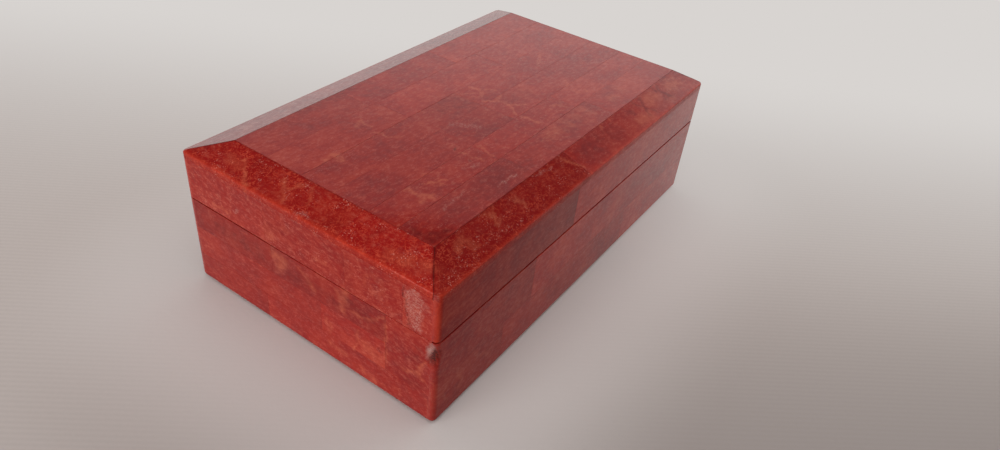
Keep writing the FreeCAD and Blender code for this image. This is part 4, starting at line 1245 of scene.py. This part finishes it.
def brushed_brass(name):
    """Metal with brush lines, which are noise stretched along X, and patches of tarnish that are rougher."""
    brass = Finish(bpy.data.materials.new(name))
    place = brass.place()
    tarnish = brass.step(brass.noise(place, 160.0, 4.0, 0.6), 0.42, 0.68, 0.0, 0.6)
    brush = brass.noise(brass.vector("MULTIPLY", place, (90.0, 2600.0, 2600.0)), 1.0, 3.0, 0.6)
    body = brass.mix(tarnish, BRASS, BRASS_DULL)
    body = brass.mix(brass.step(brush, 0.3, 0.5, 0.25, 0.0), body, BRASS_DULL)
    return brass.principled({
        "Base Color": body,
        "Metallic": 0.75,
        "Roughness": brass.step(tarnish, 0.0, 0.6, 0.28, 0.48),
        "Normal": brass.bump(brush, 0.00002, 0.4),
    })


hinge_brass = brushed_brass("hinge_brass_brushed")
for node in sorted(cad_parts):
    if node.endswith(("_leaf", "_hinge_pin")):
        refine(node, hinge_brass, HINGE_EDGE)
print("brass nodes:", len(hinge_brass.node_tree.nodes))

# %% [markdown]
# ## Slotted screws
# Each leaf is held by small countersunk wood screws. A screw could be turned from a profile, but its slot
# isn't round, so it is a square lattice drawn into a disc: its layers follow the cone of the head and the
# shank, and the middle strip of its top layer is pressed down to make the slot.

# %% Screws
HEAD_RADIUS, CONE_DEPTH, SHANK_RADIUS = 1.4, 0.9, 0.75
SLOT_HALF, SLOT_FLOOR_HALF, SLOT_DEPTH = 0.2, 0.16, 0.45
SCREW_CLEARANCE = 0.02


def slotted_screw(centre, length, facing, turn):
    """A screw whose head lies at centre and looks up (facing 1) or down (-1). A square (s, t) becomes a disc
    by x = s sqrt(1 - t t / 2) and y = t sqrt(1 - s s / 2), with its middle strip kept straight for a slot."""
    slot_edges = (-SLOT_HALF, SLOT_HALF, -SLOT_FLOOR_HALF, SLOT_FLOOR_HALF)
    s = np.unique(np.concatenate([np.linspace(-1, 1, 9), slot_edges]).round(4))
    s, t, layer = np.moveaxis(lattice_of(s, np.linspace(-1, 1, 9), np.arange(7)), -1, 0)
    layer = layer.astype(int)
    depth = np.array((0.0, 0.06, CONE_DEPTH, CONE_DEPTH + 0.3, length - 1.6, length - 0.5, length))[layer]
    radius = np.array((HEAD_RADIUS - 0.05, HEAD_RADIUS, SHANK_RADIUS, SHANK_RADIUS, 0.6, 0.3, 0.08))[layer]
    straight = np.clip((np.abs(s) - SLOT_HALF) / 0.4, 0, 1)
    x = s * (1.0 + straight * (np.sqrt(1.0 - t * t / 2) - 1.0)) * radius
    y = t * np.sqrt(1.0 - s * s / 2) * radius
    in_slot = (layer <= 1) & (np.abs(s) < (SLOT_FLOOR_HALF + SLOT_HALF) / 2)
    depth = np.where(in_slot, SLOT_DEPTH + 0.05 * layer, depth)
    spun = np.stack([x * math.cos(turn) - y * math.sin(turn), x * math.sin(turn) + y * math.cos(turn)], -1)
    points = np.concatenate([spun * (1.0, facing), -facing * depth[..., None]], -1) + centre
    return {"points": points, "quads": skin(points.shape[:3])}


for part, facing in (("base", 1), ("lid", -1)):
    node = f"{part}_hinge_screws"
    screw_low, screw_high = solids_in(node)
    blocks = []
    for low, high in zip(screw_low, screw_high):
        head = high[2] if facing > 0 else low[2]
        centre = np.array((*(low + high)[:2] / 2, head - facing * SCREW_CLEARANCE))
        length = high[2] - low[2] - 2 * SCREW_CLEARANCE
        blocks.append(slotted_screw(centre, length, facing, dice.uniform(0, math.pi)))
    add_piece(f"{part}_slotted_screws", blocks, hinge_brass, part, [node], sharp=30.0)

# %% [markdown]
# ## Velvet linings
# The inside walls are lined with thin card wrapped in dark velvet. Each is a slab with soft edges that swells
# a little between its ends. The pile is what makes velvet: a sheen that is strongest at grazing angles, a
# grain of single hairs, and patches where the pile has been stroked the other way. Those patches are painted
# lighter in the colour, a painted sheen.

# %% Velvet finish
VELVET_DARK = linear(52, 10, 16)
VELVET_WINE = linear(92, 20, 30)


def pile_cloth(name, dark, light, sheen, hair, tuft):
    """Cloth with a pile: hair is the scale of single fibres, tuft that of the patches in which they lean
    alike. Those patches are painted lighter, a painted sheen of pile that leans another way."""
    cloth = Finish(bpy.data.materials.new(name))
    place = cloth.place()
    fibre = cloth.noise(place, hair, 3.0, 0.7)
    # Painted sheen: patches of pile that lean alike are drawn lighter in the colour.
    nap_painted_sheen = cloth.noise(place, tuft, 3.0, 0.55)
    shade = cloth.math("ADD", cloth.times(fibre, 0.55), cloth.times(nap_painted_sheen, 0.45))
    return cloth.principled({
        "Base Color": cloth.mix(cloth.step(shade, 0.32, 0.68), dark, light),
        "Roughness": cloth.step(fibre, 0.2, 0.8, 0.95, 0.75),
        "Specular IOR Level": 0.15,
        "Sheen Weight": sheen,
        "Sheen Roughness": 0.35,
        "Sheen Tint": light,
        "Normal": cloth.bump(fibre, 0.00012, 0.6, cloth.bump(nap_painted_sheen, 0.0004, 0.3)),
    })


wine_velvet = pile_cloth("lining_velvet_wine", VELVET_DARK, VELVET_WINE, 0.7, 3200.0, 60.0)
print("velvet nodes:", len(wine_velvet.node_tree.nodes))

# %% Lining slabs
LINING_CLEARANCE, LINING_ROUND, LINING_STEP, LINING_SWELL = 0.05, 0.45, 2.0, 0.12


def soft_slab(low, high, radius, step, swell):
    """A slab with all its edges rounded, whose wide faces bulge by swell times a half wave each way."""
    size = high - low
    thin = int(np.argmin(size))
    near = np.array((0.2, 0.5, 1.0, 1.8)) * radius
    axes = [stations(size[axis], step if axis != thin else size[axis], near, near) for axis in range(3)]
    local = lattice_of(*axes)
    share = np.clip(local / size, 0, 1)
    wave = [np.sin(np.pi * share[..., axis]) for axis in range(3) if axis != thin]
    shaped = round_off(local, (0, 0, 0), size, radius)
    side = np.sign(local[..., thin] - size[thin] / 2)
    shaped[..., thin] += side * swell * (wave[0] * wave[1]) ** 0.5 - side * swell
    return {"points": shaped + low, "quads": skin(local.shape[:3])[:, ::-1]}


for part in ("base", "lid"):
    for side in WALLS:
        node = f"{part}_{side}_lining"
        low, high = box_of(node)
        low, high = low + LINING_CLEARANCE, high - LINING_CLEARANCE
        slab = soft_slab(low, high, LINING_ROUND, LINING_STEP, LINING_SWELL)
        add_piece(f"{part}_{side}_velvet", [slab], wine_velvet, part, [node], sharp=70.0)

# %% [markdown]
# ## Padded floor and padded lid
# A thin foam pad covered with the same velvet lies on the floor of the case, and another is glued inside the
# lid. A pad like that is cut flat and swells when its cover is pulled over it. So each starts as a slimmer,
# smaller slab, which a cloth simulation blows up a little, and its glued face is then pressed flat again.

# %% Blowing up a pad
PAD_PRESSURE, PAD_FRAMES = 4.0, 20
COVER_STIFFNESS, COVER_BENDING = 40.0, 2.0


def blown_up(flat, pressure, last_frame):
    """Runs the cloth simulation on a closed mesh, with air pressed into it and no gravity, and applies it."""
    puff = flat.modifiers.new("puff", "CLOTH")
    puff.settings.use_pressure = True
    puff.settings.uniform_pressure_force = pressure
    puff.settings.tension_stiffness = COVER_STIFFNESS
    puff.settings.compression_stiffness = COVER_STIFFNESS
    puff.settings.bending_stiffness = COVER_BENDING
    puff.settings.effector_weights.gravity = 0.0
    puff.point_cache.frame_start = 1
    puff.point_cache.frame_end = last_frame
    for step in range(1, last_frame + 1):
        bpy.context.scene.frame_set(step)
    graph = bpy.context.evaluated_depsgraph_get()
    points = corners_of(flat.evaluated_get(graph).data)
    flat.modifiers.remove(puff)
    bpy.context.scene.frame_set(1)
    return points


print("a pad swells for", PAD_FRAMES, "frames at a pressure of", PAD_PRESSURE)

# %% Pads
PAD_MARGIN, PAD_VOXEL, PAD_CAP, PAD_CLEARANCE = 0.35, 1.6, 1.0, 0.05
PAD_SLIMMER, PAD_ROUND, PAD_STEP = 0.28, 0.9, 1.5
PAD_REACH = np.array((0.2, 0.2, -PAD_CLEARANCE))


def velvet_pad(name, node, body, glued):
    """A pad in its node's box: voxels, cloth and a cap on every move. It is then fitted to its seat between
    the linings, with its glued face (-1 below, 1 above) pressed flat."""
    low, high = box_of(node)
    slim = (high[2] - low[2]) * PAD_SLIMMER
    start_low = low + (PAD_MARGIN, PAD_MARGIN, slim if glued > 0 else PAD_CLEARANCE)
    start_high = high - (PAD_MARGIN, PAD_MARGIN, slim if glued < 0 else PAD_CLEARANCE)
    slab = soft_slab(start_low, start_high, PAD_ROUND, PAD_STEP, 0.0)
    pad = add_piece(name, [slab], wine_velvet, body, [node], sharp=180.0)
    mould = pad.modifiers.new("voxels", "REMESH")
    mould.mode = "VOXEL"
    mould.voxel_size = PAD_VOXEL * MM
    mould.use_smooth_shade = True
    graph = bpy.context.evaluated_depsgraph_get()
    pad.data = bpy.data.meshes.new_from_object(pad.evaluated_get(graph))
    pad.modifiers.remove(mould)
    before = corners_of(pad.data)
    moved = blown_up(pad, PAD_PRESSURE, PAD_FRAMES)
    travel = moved - before
    length = np.maximum(np.linalg.norm(travel, axis=1, keepdims=True), 1e-9)
    after = before + travel * np.minimum(1.0, PAD_CAP * MM / length)
    after = np.clip(after, (low + PAD_CLEARANCE) * MM, (high - PAD_CLEARANCE) * MM)
    seat_low, seat_high = (low - PAD_REACH) * MM, (high + PAD_REACH) * MM
    share = (after - after.min(0)) / np.ptp(after, axis=0)
    after = seat_low + share * (seat_high - seat_low)
    pad.data.vertices.foreach_set("co", after.astype(np.float32).ravel())
    pad.data.update()
    round_up = pad.modifiers.new("smooth", "SUBSURF")
    round_up.levels = 1
    round_up.render_levels = 1
    print(f"{name}: {len(pad.data.polygons)} faces, most moved {length.max() / MM:.2f} mm")
    return pad


velvet_pad("base_velvet_pad", "base_floor_pad", "base", -1)
velvet_pad("lid_velvet_pad", "lid_pad", "lid", 1)

# %% [markdown]
# ## Felt under the foot
# A sheet of pressed felt keeps the stone off the table. It is a thin soft slab whose faces are a little
# uneven, in the same kind of finish as the velvet but with a shorter, matted pile and hardly any sheen.

# %% Felt
FELT_DARK = linear(40, 36, 36)
FELT_LIGHT = linear(74, 68, 66)
FELT_ROUND, FELT_STEP, FELT_RELIEF = 0.3, 1.5, 0.05
pressed_felt = pile_cloth("underside_felt_pressed", FELT_DARK, FELT_LIGHT, 0.15, 1900.0, 220.0)
low, high = box_of("underside_felt")
felt = soft_slab(low, high, FELT_ROUND, FELT_STEP, 0.0)
x, y, z = np.moveaxis(felt["points"], -1, 0)
matted = np.sin(0.9 * x + 1.3 * np.sin(0.7 * y)) * np.sin(1.1 * y + 1.7 * np.sin(0.5 * x))
underneath = z < (low[2] + high[2]) / 2
felt["points"][..., 2] = z + FELT_RELIEF * (0.5 + 0.5 * matted) * underneath
add_piece("underside_felt_sheet", [felt], pressed_felt, "base", ["underside_felt"],
          sharp=60.0)

# %% [markdown]
# ## Size and finish
# The size of the dressed case is printed. The dressed case has to stay inside the CAD model's box.

# %% Print the size of the dressed case
low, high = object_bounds()
print("visual box in mm:", ((np.array(high) - np.array(low)) / MM).round(2))
